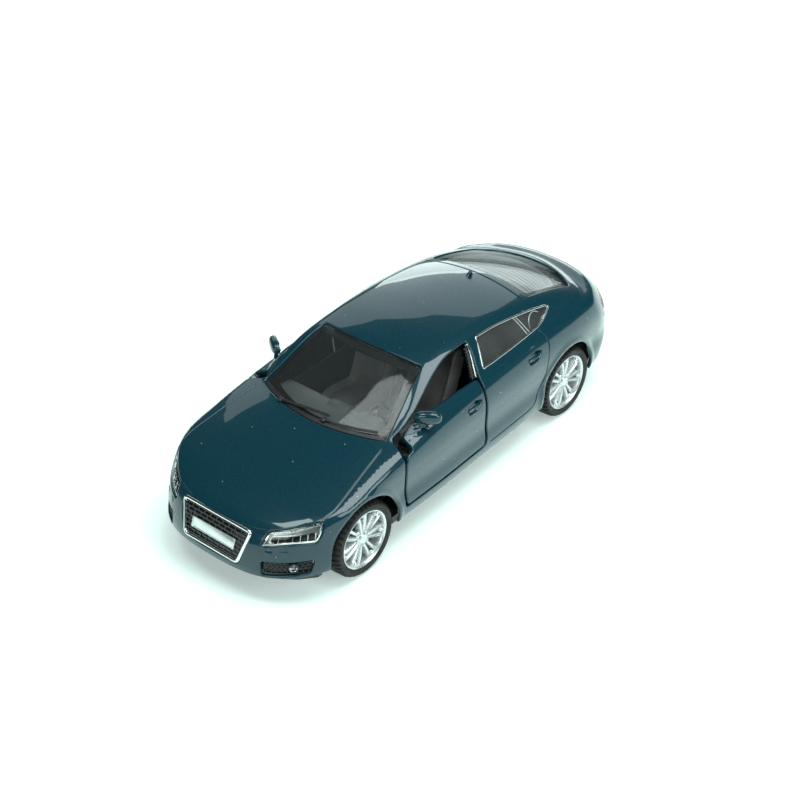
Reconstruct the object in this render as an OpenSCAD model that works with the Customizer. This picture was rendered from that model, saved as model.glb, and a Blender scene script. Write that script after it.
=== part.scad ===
// Die-cast pull-back car: a five-door liftback, about 1:39, with two opening doors.
// The front faces -Y, the car's left side is +X, and the tyres stand on z = 0.
// The body is one smooth field: body_field() is 0 on the painted surface and
// negative inside it, close to the depth in millimetres.

/* [Body] */
// Foremost point of the body
nose_y = -63.5; // [-64:0.5:-63]
// Rearmost point of the body
tail_y = 63.8; // [63.5:0.1:64]
// Height of the waist line, where the side windows start
belt_z = 27.4; // [27.2:0.1:27.6]
// Height of the lower edge of the sills and bumpers
sill_z = 7.4; // [7.2:0.1:7.6]
// Wall thickness of the body casting
skin_t = 1.2; // [1:0.1:1.3]
// Wall thickness of a door casting
door_t = 1.5; // [1.4:0.1:1.6]
// Gap between a door and the body
seam = 0.35; // [0.3:0.05:0.45]
// Radius of the wheel arches
arch_r = 10.4; // [10.3:0.1:10.8]

/* [Wheels] */
// Height of both axles
axle_z = 9.1; // [9.1:0.1:9.1]
// Front axle, along the car
front_axle_y = -40.4; // [-40.6:0.1:-40.2]
// Rear axle, along the car
rear_axle_y = 34.3; // [34.1:0.1:34.5]
// Rolling radius of a tyre
tyre_r = 9.1; // [9:0.05:9.1]
// Width of a tyre
tyre_w = 6.5; // [6:0.1:6.6]
// Radius of a rim, where the tyre sits
rim_r = 6.9; // [6.8:0.05:7]
// Outer face of a front wheel, from the middle
front_face_x = 23.8; // [23.6:0.1:23.8]
// Outer face of a rear wheel, from the middle
rear_face_x = 22.6; // [22.4:0.1:22.6]
// Radius of the steel axles
axle_r = 1; // [0.9:0.05:1]
// Running clearance of an axle in its bearings
axle_play = 0.07; // [0.05:0.01:0.09]
// Number of double spokes in a rim
spokes = 7; // [5:1:9]

/* [Doors] */
// Hinge axis of a door, across the car
hinge_x = 21.3; // [21.2:0.1:21.4]
// Hinge axis of a door, along the car
hinge_y = -24.4; // [-24.5:0.1:-24.3]
// Radius of a hinge pin
hinge_pin_r = 0.5; // [0.45:0.05:0.5]
// Running clearance of a door barrel on its pin
hinge_play = 0.05; // [0.04:0.01:0.08]

/* [Motor] */
// Tooth module of the gear train
tooth_m = 0.5; // [0.5:0.1:0.5]
// Teeth on the rear axle
axle_teeth = 10; // [10:1:10]
// Teeth on the large half of the compound gear
compound_teeth = 20; // [20:1:20]
// Teeth on the small half of the compound gear
pinion_teeth = 10; // [10:1:10]
// Teeth on the spring gear
spring_teeth = 22; // [22:1:22]
// Turns of the mainspring
spring_turns = 6; // [5:1:7]

/* [Hidden] */
$fn = 48;

// Colours
PAINT = "#0f3d52";
BLACK = "#1d1e20";
GREY = "#4a4c50";
SILVER = "#c9cdd0";
STEEL = "#9da1a5";
CLEAR = "#cfe0e4";
RED = "#a0141c";
WHITE = "#e9e9e4";
BRASS = "#c8a24a";

// Body curves. Each row is [position, value]; curve() runs smoothly through them.
// Height of the bonnet, waist and boot on the centre line, along the car
DECK_Z = [[-63.5, 13.5], [-61.5, 16.2], [-59, 18], [-54, 20.2], [-47, 22.1], [-40, 23.7],
    [-32, 25.2], [-20, 26.6], [0, 27.3], [20, 27.8], [35, 27.9], [46, 27.6], [50, 27.3],
    [54, 27.2], [56, 27], [60, 25.8]];
// How far that deck drops towards the sides
DECK_DROP = [[-63.5, 2.4], [-57, 2], [-48, 2.1], [-38, 2.4], [-27, 2.3], [-15, 1.4],
    [0, 0.7], [20, 0.6], [45, 1.4], [56, 1.8], [63.5, 2.5]];
// Half width of the body along the car
PLAN_X = [[-63.5, 21], [-60, 22.2], [-56, 23], [-50, 23.6], [-43, 23.9], [-36, 24.1],
    [-26, 24.2], [-15, 24.2], [-4, 23.9], [8, 23.6], [16, 23.4], [23, 23.1], [30, 22.9],
    [38, 22.6], [45, 22], [50, 21.2], [54, 19.9], [58, 17.9], [61, 15.6], [63.5, 13]];
// Bulge of the side against height
SIDE_BULGE = [[4, -2.6], [6, -1.3], [8.5, -0.35], [11, -0.1], [14, -0.45], [18, -0.15],
    [20.5, 0], [22.5, -0.15], [25, -0.9], [28, -2.6], [31, -5]];
// Set-back of the nose and of the tail against height
NOSE_BACK = [[4, 1.2], [6.5, 0.2], [8.5, 0], [11, 0.35], [14, 1.2], [17, 2.4], [20, 4.2]];
TAIL_BACK = [[4, 5.2], [7, 3.2], [10, 1.2], [13, 0.1], [15.5, 0], [18, 0.8], [20, 1.6],
    [22, 2.8], [24, 4.5], [26.5, 7.2], [29, 10]];
// Windscreen, roof and rear window on the centre line, along the car
ROOF_Z = [[-40, 21], [-34, 24.2], [-32, 25.3], [-22, 30.3], [-11.5, 34.9], [-5, 36.05],
    [4, 36.5], [14, 36.2], [24, 35.3], [32, 33.95], [40, 31.8], [45.7, 29.8], [50, 28.1],
    [54, 26.6], [58, 25]];
// Crown of the roof, times 1000
ROOF_CROWN = [[-40, 10], [-27, 9.8], [-10, 7.8], [0, 6.2], [20, 6.8], [35, 8.5], [48, 10]];
// Half width of the cabin at the waist line
CABIN_X = [[-40, 14.5], [-33, 17.2], [-27, 19.2], [-20, 20.6], [-10, 21.1], [5, 21.2],
    [20, 20.9], [32, 20], [42, 18.6], [50, 17.2], [58, 15.5]];
// Lowest level of the closed body volume, and the foremost point of the cabin volume
body_floor_z = 4;
cabin_front_y = -38;

// Slope between rows, slope at a row, and the smooth curve through the rows
function rise(p, i) = (p[i + 1][1] - p[i][1]) / (p[i + 1][0] - p[i][0]);
function slope(p, i) = i == 0 ? rise(p, 0) : i == len(p) - 1 ? rise(p, i - 1) :
    let (a = p[i][0] - p[i - 1][0], b = p[i + 1][0] - p[i][0])
    (rise(p, i - 1) * b + rise(p, i) * a) / (a + b);
function span(p, t, i = 0) = i >= len(p) - 2 || t < p[i + 1][0] ? i : span(p, t, i + 1);
function curve(p, at) =
    let (t = min(max(at, p[0][0]), p[len(p) - 1][0]), i = span(p, t),
        h = p[i + 1][0] - p[i][0], s = (t - p[i][0]) / h, s2 = s * s, s3 = s2 * s)
    p[i][1] * (2 * s3 - 3 * s2 + 1) + p[i + 1][1] * (3 * s2 - 2 * s3)
    + h * (slope(p, i) * (s3 - 2 * s2 + s) + slope(p, i + 1) * (s3 - s2));

// Larger or smaller of two values, blended over the width r
function blend_max(a, b, r) = max(a, b) + pow(max(r - abs(a - b), 0) / r, 3) * r / 6;
function blend_min(a, b, r) = -blend_max(-a, -b, r);

// Raised lip round one wheel arch
function arch_lip(y, z, axle_y) =
    0.35 * exp(-pow((norm([y - axle_y, z - axle_z]) - arch_r - 0.6) / 0.9, 2));
function side_x(y, z) = curve(PLAN_X, y) + curve(SIDE_BULGE, z)
    + arch_lip(y, z, front_axle_y) + arch_lip(y, z, rear_axle_y);
function nose_at(x, z) = nose_y + curve(NOSE_BACK, z) + 0.004 * pow(x, 2) + 0.000033 * pow(x, 4);
function tail_at(x, z) = tail_y - curve(TAIL_BACK, z) - 0.0125 * pow(x, 2) - 0.00003 * pow(x, 4);
function deck_at(x, y) =
    curve(DECK_Z, y) - curve(DECK_DROP, y) * pow(abs(x) / curve(PLAN_X, y), 2.5);
function roof_at(x, y) = curve(ROOF_Z, y) - curve(ROOF_CROWN, y) / 1000 * x * x;
function cabin_x(y, z) = let (h = max(z - belt_z, -1.2)) curve(CABIN_X, y) - 0.6 * h - 0.012 * h * h;
function lower_field(x, y, z) = blend_max(blend_max(blend_max(
    z - deck_at(x, y), abs(x) - side_x(y, z), 2.6), nose_at(x, z) - y, 2.6), y - tail_at(x, z), 2);
function cabin_field(x, y, z) = blend_max(blend_max(blend_max(
    z - roof_at(x, y), abs(x) - cabin_x(y, z), 3.2), y - tail_at(x, z) + 0.7, 1), cabin_front_y - y, 1);
function body_field(x, y, z) =
    max(blend_min(lower_field(x, y, z), cabin_field(x, y, z), 0.8), body_floor_z - z);

// Points of the surface where the field has a given level. Rays leave a spine inside
// the body: u runs 0 to 1 from nose to tail, v is the angle round the spine from +X up.
cap_u = 0.2;
spine_front_y = -46;
spine_rear_y = 42;
function spine(u) = let (t = min(max((u - cap_u) / (1 - 2 * cap_u), 0), 1))
    [0, spine_front_y + (spine_rear_y - spine_front_y) * t, 12.8 + 4.2 * min(1, 3 * t)];
function tilt(u) = u < cap_u ? -90 * (1 - u / cap_u) : u > 1 - cap_u ? 90 * (1 - (1 - u) / cap_u) : 0;
function ray(u, v) = [cos(v) * cos(tilt(u)), sin(tilt(u)), sin(v) * cos(tilt(u))];
function reach(o, d, level, near = 1, far = 60, steps = 13) =
    let (mid = (near + far) / 2, p = o + mid * d)
    steps == 0 ? p : body_field(p.x, p.y, p.z) > level ?
        reach(o, d, level, near, mid, steps - 1) : reach(o, d, level, mid, far, steps - 1);
function skin_point(u, v, level) = reach(spine(u), ray(u, v), level);

// Closed volume inside one level, from rings of points with a pole at each end
rings = 27;
sides = 36;
module body_volume(level) {
    points = concat([skin_point(0, 0, level)],
        [for (i = [1:rings], j = [0:sides - 1]) skin_point(i / (rings + 1), 360 * j / sides, level)],
        [skin_point(1, 0, level)]);
    last = len(points) - 1;
    function id(i, j) = 1 + i * sides + j % sides;
    nose_fan = [for (j = [0:sides - 1]) [0, id(0, j + 1), id(0, j)]];
    tail_fan = [for (j = [0:sides - 1]) [last, id(rings - 1, j), id(rings - 1, j + 1)]];
    band = [for (i = [0:rings - 2], j = [0:sides - 1], k = [0, 1])
        k == 0 ? [id(i, j), id(i + 1, j + 1), id(i + 1, j)] : [id(i, j), id(i, j + 1), id(i + 1, j + 1)]];
    polyhedron(points, concat(nose_fan, band, tail_fan));
}

// Thick patch of the skin between two levels, for the parts set into it or cut from it
function u_at_tilt(a) = a < 0 ? cap_u * (1 + a / 90) : 1 - cap_u * (1 - a / 90);
function u_at_y(y) = cap_u + (1 - 2 * cap_u) * (y - spine_front_y) / (spine_rear_y - spine_front_y);
module skin_patch(us, angles, outer, inner, nu = 9, nv = 9) {
    function grid(level) = [for (i = [0:nu], j = [0:nv])
        skin_point(us[0] + (us[1] - us[0]) * i / nu,
            angles[0] + (angles[1] - angles[0]) * j / nv, level)];
    n = nv + 1;
    m = n * (nu + 1);
    edge = concat([for (j = [0:nv - 1]) j], [for (i = [0:nu - 1]) i * n + nv],
        [for (j = [0:nv - 1]) m - 1 - j], [for (i = [0:nu - 1]) m - n - i * n]);
    top = [for (i = [0:nu - 1], j = [0:nv - 1], k = [0, 1])
        k == 0 ? [i * n + j, i * n + n + j + 1, i * n + n + j] : [i * n + j, i * n + j + 1, i * n + n + j + 1]];
    bottom = [for (f = top) [f[0] + m, f[2] + m, f[1] + m]];
    wall = [for (i = [0:len(edge) - 1], k = [0, 1]) let (a = edge[i], b = edge[(i + 1) % len(edge)])
        k == 0 ? [a, b + m, b] : [a, a + m, b + m]];
    polyhedron(concat(grid(outer), grid(inner)), concat(top, bottom, wall));
}

// Outline with each corner drawn as a short curve of reach r
function soften(p, r, n = 3) = [for (i = [0:len(p) - 1])
    let (v = p[i], a = p[(i + len(p) - 1) % len(p)] - v, b = p[(i + 1) % len(p)] - v,
        s = v + a * min(r / norm(a), 0.45), e = v + b * min(r / norm(b), 0.45))
    for (k = [0:n]) let (t = k / n) s * pow(1 - t, 2) + v * 2 * t * (1 - t) + e * t * t];

// Extrusions of an outline: drawn in (y, z) along X, in (x, z) along Y, in (x, y) along Z.
// A margin other than 0 grows the outline by that much.
module outlined(outline, margin) {
    if (margin == 0) polygon(outline);
    else offset(delta = margin) polygon(outline);
}
module across(outline, x0, x1, margin = 0) {
    translate([x0, 0, 0]) rotate([90, 0, 90]) linear_extrude(x1 - x0) outlined(outline, margin);
}
module lengthwise(outline, y0, y1, margin = 0) {
    translate([0, y1, 0]) rotate([90, 0, 0]) linear_extrude(y1 - y0) outlined(outline, margin);
}
module upright(outline, z0, z1, margin = 0) {
    translate([0, 0, z0]) linear_extrude(z1 - z0) outlined(outline, margin);
}
module block(low, high) {
    translate(low) cube(high - low);
}
module both_sides() {
    children();
    mirror([1, 0, 0]) children();
}
module x_rod(x0, x1, y, z, r) {
    translate([x0, y, z]) rotate([0, 90, 0]) cylinder(h = x1 - x0, r = r);
}

// Outlines of the openings, on the left side of the car
door_front_y = -27.15;
DOOR = soften([[door_front_y, 10.5], [0.6, 10.5], [1.5, 12.5], [1, 19], [1.1, 27.8], [-19.9, 27.8],
    [-24.2, 24.9], [-24.4, 23.4], [-26.4, 23.2], [-27.2, 21]], 1);
FRONT_WINDOW = [[-19.9, 27.5], [-16.1, 29.9], [-11.3, 32.1], [-6.3, 33.6], [-2.5, 34.2],
    [3.2, 34.3], [0.6, 27.5]];
REAR_WINDOW = soften([[3.3, 28.3], [5.7, 34.2], [12, 34], [18.3, 33.3], [25.5, 32.2], [30.9, 31],
    [31.9, 30.3], [25.9, 28.5]], 0.8);
WINDSCREEN = concat([for (t = [-1:0.2:1]) [18.2 * t, -32 + 5 * t * t]],
    [for (t = [1:-0.2:-1]) [14.2 * t, -11.7 + 1.6 * t * t]]);
BACK_WINDOW = concat([for (t = [-1:0.2:1]) [14.2 * t, 28.9 - 0.8 * t * t]],
    [for (t = [1:-0.1:-1]) [14.2 * t, 49.9 - 4.6 * pow(abs(t), 2.8)]]);
GRILLE = soften([[-10.2, 16.9], [10.2, 16.9], [8.2, 9.2], [-8.2, 9.2]], 0.9);
// The lamps wrap round the corners, so they are drawn on a plane turned by lamp_turn
lamp_turn = 40;
HEADLAMP = soften([[-29.6, 14.5], [-27.5, 17.7], [-21.6, 18.8], [-15.9, 19.3], [-16.5, 16.9],
    [-17.4, 15.3], [-23.1, 15.6]], 0.7);
FOG_OPENING = soften([[-29.5, 11.5], [-18, 11.5], [-19, 8.4], [-29.6, 7.9]], 0.7);
TAIL_LAMP = soften([[-31, 19.6], [-17.4, 18.6], [-18.2, 22.6], [-30.5, 23.4]], 0.8);
module front_corner(outline, margin = 0) {
    rotate([0, 0, lamp_turn]) lengthwise(outline, -62, -44, margin);
}
module rear_corner(outline, margin = 0) {
    rotate([0, 0, -lamp_turn]) lengthwise(outline, 44, 66, margin);
}

// The door's front edge turns inside a cylinder round the hinge axis, up to sweep_top_z
door_skin_x = 24.2;
sweep_r = norm([door_skin_x - hinge_x, hinge_y - door_front_y]);
sweep_top_z = 23.4;
sweep_low_z = 10.1;
// Barrel of the door between the two lugs of the hinge tower
barrel_z = [12, 19.5];
lug_z = [10.2, 21.3];
lug_gap = 0.3;
lug_r = 0.9;
tower_x = [18.2, 19.4];

// Posts that take the chassis screws
post_front_y = -52;
post_rear_y = 55;
post_r = 2;
screw_r = 0.8;
chassis_low_z = 5.4;
chassis_top_z = 7.2;

// ---- Body casting, doors and mirrors ----
module screw_post(y, top) {
    translate([0, y, chassis_top_z + 1]) difference() {
        cylinder(h = top - chassis_top_z - 1, r = post_r, $fn = 20);
        translate([0, 0, -1]) cylinder(h = 8, r = screw_r, $fn = 20);
    }
}
module antenna_fin() {
    translate([0, 24.3, 34.9]) rotate([90, 0, 90]) translate([0, 0, -0.35]) linear_extrude(0.7)
        polygon([[-1.5, 0], [1.1, 0], [0.9, 1.5], [0.4, 1.5]]);
}
// The upper front corner of the door swings forward into this notch
FLANGE_SWEEP = [[20.6, -24.2], [21.9, -27.1], [23.8, -27.1], [24.9, -24.4], [24.9, -22.5], [21.8, -22.5]];
module door_opening() {
    across(DOOR, 14, 30, seam);
    translate([hinge_x, hinge_y, sweep_low_z])
        cylinder(h = sweep_top_z - sweep_low_z + 0.2, r = sweep_r + 0.2);
    upright(FLANGE_SWEEP, sweep_top_z - 0.4, sweep_top_z + 2.2);
}
module body_shell() {
    color(PAINT) resize([0, 0, 0]) union() {
        difference() {
            body_volume(0);
            body_volume(-skin_t);
            block([-40, -80, -1], [40, 80, sill_z]);
            upright(WINDSCREEN, 24, 50);
            upright(BACK_WINDOW, 24.5, 50);
            lengthwise(GRILLE, -80, -50);
            both_sides() {
                door_opening();
                across(FRONT_WINDOW, 10, 30);
                across(REAR_WINDOW, 10, 30);
                x_rod(14, 30, front_axle_y, axle_z, arch_r);
                x_rod(14, 30, rear_axle_y, axle_z, arch_r);
                front_corner(HEADLAMP);
                front_corner(FOG_OPENING);
                rear_corner(TAIL_LAMP);
            }
        }
        screw_post(post_front_y, 20);
        screw_post(post_rear_y, 26);
        antenna_fin();
    }
}

module door() {
    difference() {
        union() {
            resize([0, 0, 0]) intersection() {
                skin_patch([u_at_y(-29), u_at_y(3)], [-20, 38], 0, -door_t, 12, 14);
                across(DOOR, 14, 30);
                union() {
                    block([14, hinge_y, 0], [30, 10, 40]);
                    translate([hinge_x, hinge_y, 0]) cylinder(h = 40, r = sweep_r);
                }
            }
            translate([hinge_x, hinge_y, barrel_z[0]])
                cylinder(h = barrel_z[1] - barrel_z[0], r = 1.2);
            block([hinge_x, hinge_y - 0.9, barrel_z[0]], [hinge_x + 1.9, hinge_y + 0.9, barrel_z[1]]);
        }
        translate([hinge_x, hinge_y, 0]) cylinder(h = 40, r = hinge_pin_r + hinge_play);
    }
}
module door_left() {
    color(PAINT) door();
}
module door_right() {
    color(PAINT) mirror([1, 0, 0]) door();
}

module hinge_pin() {
    translate([hinge_x, hinge_y, lug_z[0]]) cylinder(h = lug_z[1] - lug_z[0], r = hinge_pin_r);
}
module hinge_pin_left() {
    color(STEEL) hinge_pin();
}
module hinge_pin_right() {
    color(STEEL) mirror([1, 0, 0]) hinge_pin();
}

module door_mirror() {
    hull() {
        translate([22.3, -18.4, 28.3]) sphere(r = 1.5, $fn = 24);
        translate([23.7, -17.4, 27.6]) sphere(r = 1.3, $fn = 24);
    }
    hull() {
        translate([20.9, -19.6, 27.0]) sphere(r = 0.5, $fn = 16);
        translate([22.5, -18.6, 27.8]) sphere(r = 0.7, $fn = 16);
    }
}
module mirror_left() {
    color(PAINT) door_mirror();
}
module mirror_right() {
    color(PAINT) mirror([1, 0, 0]) door_mirror();
}

// ---- Clear moulding, lamps and grille ----
// One clear piece lines the cabin: windscreen, roof, rear side windows and rear window
glass_depth = skin_t + 0.1;
glass_t = 0.8;
OPEN_SIDE = [[-25.5, 0], [-25.5, 24.8], [-20.5, 27.9], [-16.3, 30.4], [-11.4, 32.6], [-6.3, 34],
    [2.6, 34.7], [2.6, 0]];
module window_moulding() {
    color(CLEAR) resize([0, 0, 0]) difference() {
        body_volume(-glass_depth);
        body_volume(-glass_depth - glass_t);
        block([-40, -80, -1], [40, 80, 24.2]);
        block([-40, -22, -1], [40, 80, 26.2]);
        block([-40, -80, -1], [40, -31.5, 60]);
        block([-40, 50.4, -1], [40, 80, 60]);
        both_sides() across(OPEN_SIDE, 13, 30);
    }
}

front_corner_us = [u_at_tilt(-62), u_at_tilt(-1)];
rear_corner_us = [u_at_tilt(10), u_at_tilt(72)];
module headlamp(outer, inner) {
    resize([0, 0, 0]) intersection() {
        skin_patch(front_corner_us, [-5, 29], outer, inner);
        front_corner(HEADLAMP, -0.08);
    }
}
module headlamp_lens_left() {
    color(CLEAR) headlamp(-0.05, -0.8);
}
module headlamp_lens_right() {
    color(CLEAR) mirror([1, 0, 0]) headlamp(-0.05, -0.8);
}
module headlamp_reflector_left() {
    color(SILVER) headlamp(-0.85, -2);
}
module headlamp_reflector_right() {
    color(SILVER) mirror([1, 0, 0]) headlamp(-0.85, -2);
}
module fog_grille() {
    resize([0, 0, 0]) intersection() {
        skin_patch(front_corner_us, [-32, 2], -0.5, -1.6);
        front_corner(FOG_OPENING, -0.08);
    }
}
module fog_grille_left() {
    color(BLACK) fog_grille();
}
module fog_grille_right() {
    color(BLACK) mirror([1, 0, 0]) fog_grille();
}
module tail_lamp() {
    resize([0, 0, 0]) intersection() {
        skin_patch(rear_corner_us, [0, 42], -0.05, -1.4);
        rear_corner(TAIL_LAMP, -0.08);
    }
}
module tail_lamp_left() {
    color(RED) tail_lamp();
}
module tail_lamp_right() {
    color(RED) mirror([1, 0, 0]) tail_lamp();
}

// The grille lies on a plane that leans back; its outlines are drawn on that plane
grille_lean = 22;
grille_low = [0, -62.9, 9.2];
grille_h = 8.2;
frame_w = 0.8;
module grille_plane(from, thickness) {
    translate(grille_low) rotate([-grille_lean, 0, 0]) rotate([90, 0, 0])
        translate([0, 0, from]) linear_extrude(thickness) children();
}
function grille_outline(margin) = soften([[-10 - margin, grille_h + margin],
    [10 + margin, grille_h + margin], [8 + margin, -margin], [-8 - margin, -margin]], 0.9);
module grille_frame() {
    color(SILVER) grille_plane(-0.6, 1) difference() {
        polygon(grille_outline(0));
        polygon(grille_outline(-frame_w));
    }
}
bar_t = 0.28;
bars = 9;
module grille_mesh() {
    inner_h = grille_h - 2 * frame_w;
    color(BLACK) union() {
        grille_plane(-1.4, 0.6) polygon(grille_outline(-0.1));
        for (i = [1:bars - 1]) let (v = i * inner_h / bars, half = 7 + 2 * v / inner_h - 0.15)
            grille_plane(-0.85, 0.6) translate([-half, frame_w + v - bar_t / 2])
                square([2 * half, bar_t]);
    }
}
plate_size = [12.6, 2.5];
module number_plate() {
    color(SILVER) grille_plane(-0.24, 0.5) translate([-plate_size.x / 2, 2.4])
        polygon(soften([[0, 0], [plate_size.x, 0], plate_size, [0, plate_size.y]], 0.3));
}

// ---- Chassis ----
well_x = 15.3;
well_half = 11;
bearing_x = [13, 15];
nose_setback = 0.9;
module floor_outline(z, inset) {
    side = [for (y = [-64:4:64]) [side_x(y, z) - inset, y]];
    ends = concat([for (x = [-24:3:24]) [x, nose_at(x, z) + inset + nose_setback]],
        [for (x = [24:-3:-24]) [x, tail_at(x, z) - inset]]);
    intersection() {
        polygon(concat(side, [for (i = [len(side) - 1:-1:0]) [-side[i].x, side[i].y]]));
        polygon(ends);
    }
}
module hinge_tower() {
    difference() {
        union() {
            block([tower_x[0], hinge_y - 1.4, chassis_low_z + 0.4], [tower_x[1], hinge_y + 2, lug_z[1]]);
            for (z = [[lug_z[0], barrel_z[0] - lug_gap], [barrel_z[1] + lug_gap, lug_z[1]]]) {
                translate([hinge_x, hinge_y, z[0]]) cylinder(h = z[1] - z[0], r = lug_r);
                block([tower_x[0], hinge_y - lug_r, z[0]], [hinge_x, hinge_y + lug_r, z[1]]);
            }
        }
        translate([hinge_x, hinge_y, 0]) cylinder(h = 40, r = hinge_pin_r);
    }
}
module chassis() {
    color(BLACK) difference() {
        union() {
            translate([0, 0, chassis_low_z]) linear_extrude(chassis_top_z - chassis_low_z)
                floor_outline(7, 1.9);
            both_sides() {
                block([bearing_x[0], front_axle_y - 2.4, chassis_low_z + 0.4],
                    [bearing_x[1], front_axle_y + 2.4, axle_z + 2.4]);
                hinge_tower();
            }
            for (y = [post_front_y, post_rear_y])
                translate([0, y, chassis_top_z - 0.2]) cylinder(h = 1.2, r = post_r + 1.2);
            // Relief of the exhaust and the floor ribs underneath
            for (x = [-5, 5]) block([x - 1.2, -26, chassis_low_z - 0.5], [x + 1.2, 8, chassis_low_z + 0.2]);
            for (y = [-46, -30, 44]) block([-12, y - 0.6, chassis_low_z - 0.3], [12, y + 0.6, chassis_low_z + 0.2]);
        }
        both_sides() for (y = [front_axle_y, rear_axle_y])
            block([well_x, y - well_half, 0], [30, y + well_half, 20]);
        x_rod(-20, 20, front_axle_y, axle_z, axle_r + axle_play);
        block([motor_x[0] - 0.3, motor_y[0] - 0.3, 0], [motor_x[2] + 0.3, motor_y[1] + 0.3, 20]);
        for (y = [post_front_y, post_rear_y]) translate([0, y, 0]) {
            cylinder(h = 20, r = screw_r + 0.1);
            cylinder(h = chassis_low_z + 0.9, r = 1.7);
        }
    }
}
module chassis_screws() {
    color(STEEL) for (y = [post_front_y, post_rear_y]) translate([0, y, chassis_low_z + 0.1]) difference() {
        union() {
            cylinder(h = 0.8, r = 1.5);
            cylinder(h = 7, r = screw_r - 0.05);
        }
        for (a = [0, 90]) rotate([0, 0, a]) block([-0.9, -0.2, -1], [0.9, 0.2, 0.4]);
    }
}

// ---- Cabin ----
tray_x = 17;
bench_x = 14.6;
tray_floor_z = 8.2;
bench_z = 19.2;
seat_x = 8.7;
seat_half = 5.4;
SEAT = [[-14, 13.2], [-13, 15.6], [-3.4, 14.2], [-0.6, 20], [2.6, 27.4], [2.9, 30.4], [4.5, 30.6],
    [4.9, 27.6], [3.4, 20], [0.6, 12.8], [-6, 11.6], [-12, 12]];
BENCH_BACK = [[20.4, 19.8], [22.2, 20], [27.2, 29.6], [26, 30], [24.6, 29.8]];
DASH = [[-27.6, 18.2], [-27.6, 22.6], [-25.2, 23.4], [-20.6, 23.2], [-19.6, 22], [-20.6, 20.4],
    [-20.4, 18.4]];
module interior_tray() {
    color(GREY) {
        block([-tray_x, -27.6, tray_floor_z], [tray_x, 10, tray_floor_z + 1]);
        block([-tray_x, -27.6, tray_floor_z], [tray_x, -26.6, 18.5]);
        block([-tray_x, 9.5, tray_floor_z], [tray_x, 10.5, bench_z + 0.8]);
        block([-tray_x, 9.5, bench_z], [tray_x, 23, bench_z + 0.8]);
        block([-bench_x, 22, bench_z], [bench_x, 46, bench_z + 0.8]);
        block([-2.2, -27, tray_floor_z + 0.5], [2.2, 10, 13.6]);
        both_sides() {
            block([tray_x - 0.8, -19.5, tray_floor_z + 0.5], [tray_x, 22, 22]);
            for (y = [-8, 0]) block([seat_x - 4, y - 1, tray_floor_z + 0.5], [seat_x + 4, y + 1, 12.6]);
            across(SEAT, seat_x - seat_half, seat_x + seat_half);
            translate([seat_x, 4.6, 30]) rotate([-6, 0, 0]) block([-2.4, -1, -0.5], [2.4, 0.8, 2.2]);
            across(soften(BENCH_BACK, 0.8), 1, bench_x - 0.4);
            block([3, 11, bench_z + 0.4], [bench_x - 0.4, 21, bench_z + 2.2]);
        }
        block([-1.5, 21, bench_z + 0.4], [1.5, 22, bench_z + 5]);
        across(soften(DASH, 0.8), -16.6, 16.6);
        block([-2, -22, 12], [2, -19.8, 20]);
    }
}
wheel_at = [8.7, -17.6, 20.4];
module steering_wheel() {
    color(GREY) translate(wheel_at) rotate([65, 0, 0]) {
        rotate_extrude() translate([3.8, 0]) circle(r = 0.45, $fn = 16);
        cylinder(h = 0.8, r = 1.3, center = true);
        for (a = [0, 180, 270]) rotate([0, 0, a]) block([0.9, -0.5, -0.3], [3.7, 0.5, 0.3]);
        translate([0, 0, -3.4]) cylinder(h = 3.4, r = 0.6);
    }
}

// ---- Wheels, drawn with the outer face at h = tyre_w and turned onto the X axis ----
module wheel_place(side, face_x, y) {
    translate([side * (face_x - tyre_w), y, axle_z]) rotate([0, side * 90, 0]) children();
}
module rim() {
    difference() {
        union() {
            rotate_extrude() polygon([[rim_r - 0.9, 0.6], [rim_r, 0.3], [rim_r, tyre_w - 0.3],
                [rim_r - 0.3, tyre_w - 0.1], [rim_r - 0.7, tyre_w - 0.5], [rim_r - 1, tyre_w - 1.6]]);
            cylinder(h = tyre_w - 1, r = 1.6);
            translate([0, 0, tyre_w - 2.2]) cylinder(h = 1.5, r = 2.1);
            for (i = [0:spokes - 1]) rotate([0, 0, 360 * i / spokes]) for (s = [-1, 1])
                translate([0, 0, tyre_w - 2.1]) linear_extrude(1.2)
                    polygon([[1.8, s * 0.25], [1.8, s * 0.8], [6.25, s * 1.35], [6.25, s * 0.7]]);
        }
        translate([0, 0, -1]) cylinder(h = tyre_w - 1.8, r = axle_r);
    }
}
module tyre() {
    rotate_extrude() polygon([[rim_r, 0.3], [tyre_r - 1, 0], [tyre_r - 0.25, 0.5], [tyre_r, 1.3],
        [tyre_r, tyre_w - 1.3], [tyre_r - 0.25, tyre_w - 0.5], [tyre_r - 1, tyre_w], [rim_r, tyre_w - 0.3]]);
}
module axle(face_x, y) {
    end = face_x - 3;
    color(STEEL) x_rod(-end, end, y, axle_z, axle_r);
}
module front_axle() {
    axle(front_face_x, front_axle_y);
}
module rear_axle() {
    axle(rear_face_x, rear_axle_y);
}
module rim_front_left() {
    color(SILVER) wheel_place(1, front_face_x, front_axle_y) rim();
}
module rim_front_right() {
    color(SILVER) wheel_place(-1, front_face_x, front_axle_y) rim();
}
module rim_rear_left() {
    color(SILVER) wheel_place(1, rear_face_x, rear_axle_y) rim();
}
module rim_rear_right() {
    color(SILVER) wheel_place(-1, rear_face_x, rear_axle_y) rim();
}
module tyre_front_left() {
    color(BLACK) wheel_place(1, front_face_x, front_axle_y) tyre();
}
module tyre_front_right() {
    color(BLACK) wheel_place(-1, front_face_x, front_axle_y) tyre();
}
module tyre_rear_left() {
    color(BLACK) wheel_place(1, rear_face_x, rear_axle_y) tyre();
}
module tyre_rear_right() {
    color(BLACK) wheel_place(-1, rear_face_x, rear_axle_y) tyre();
}

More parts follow.
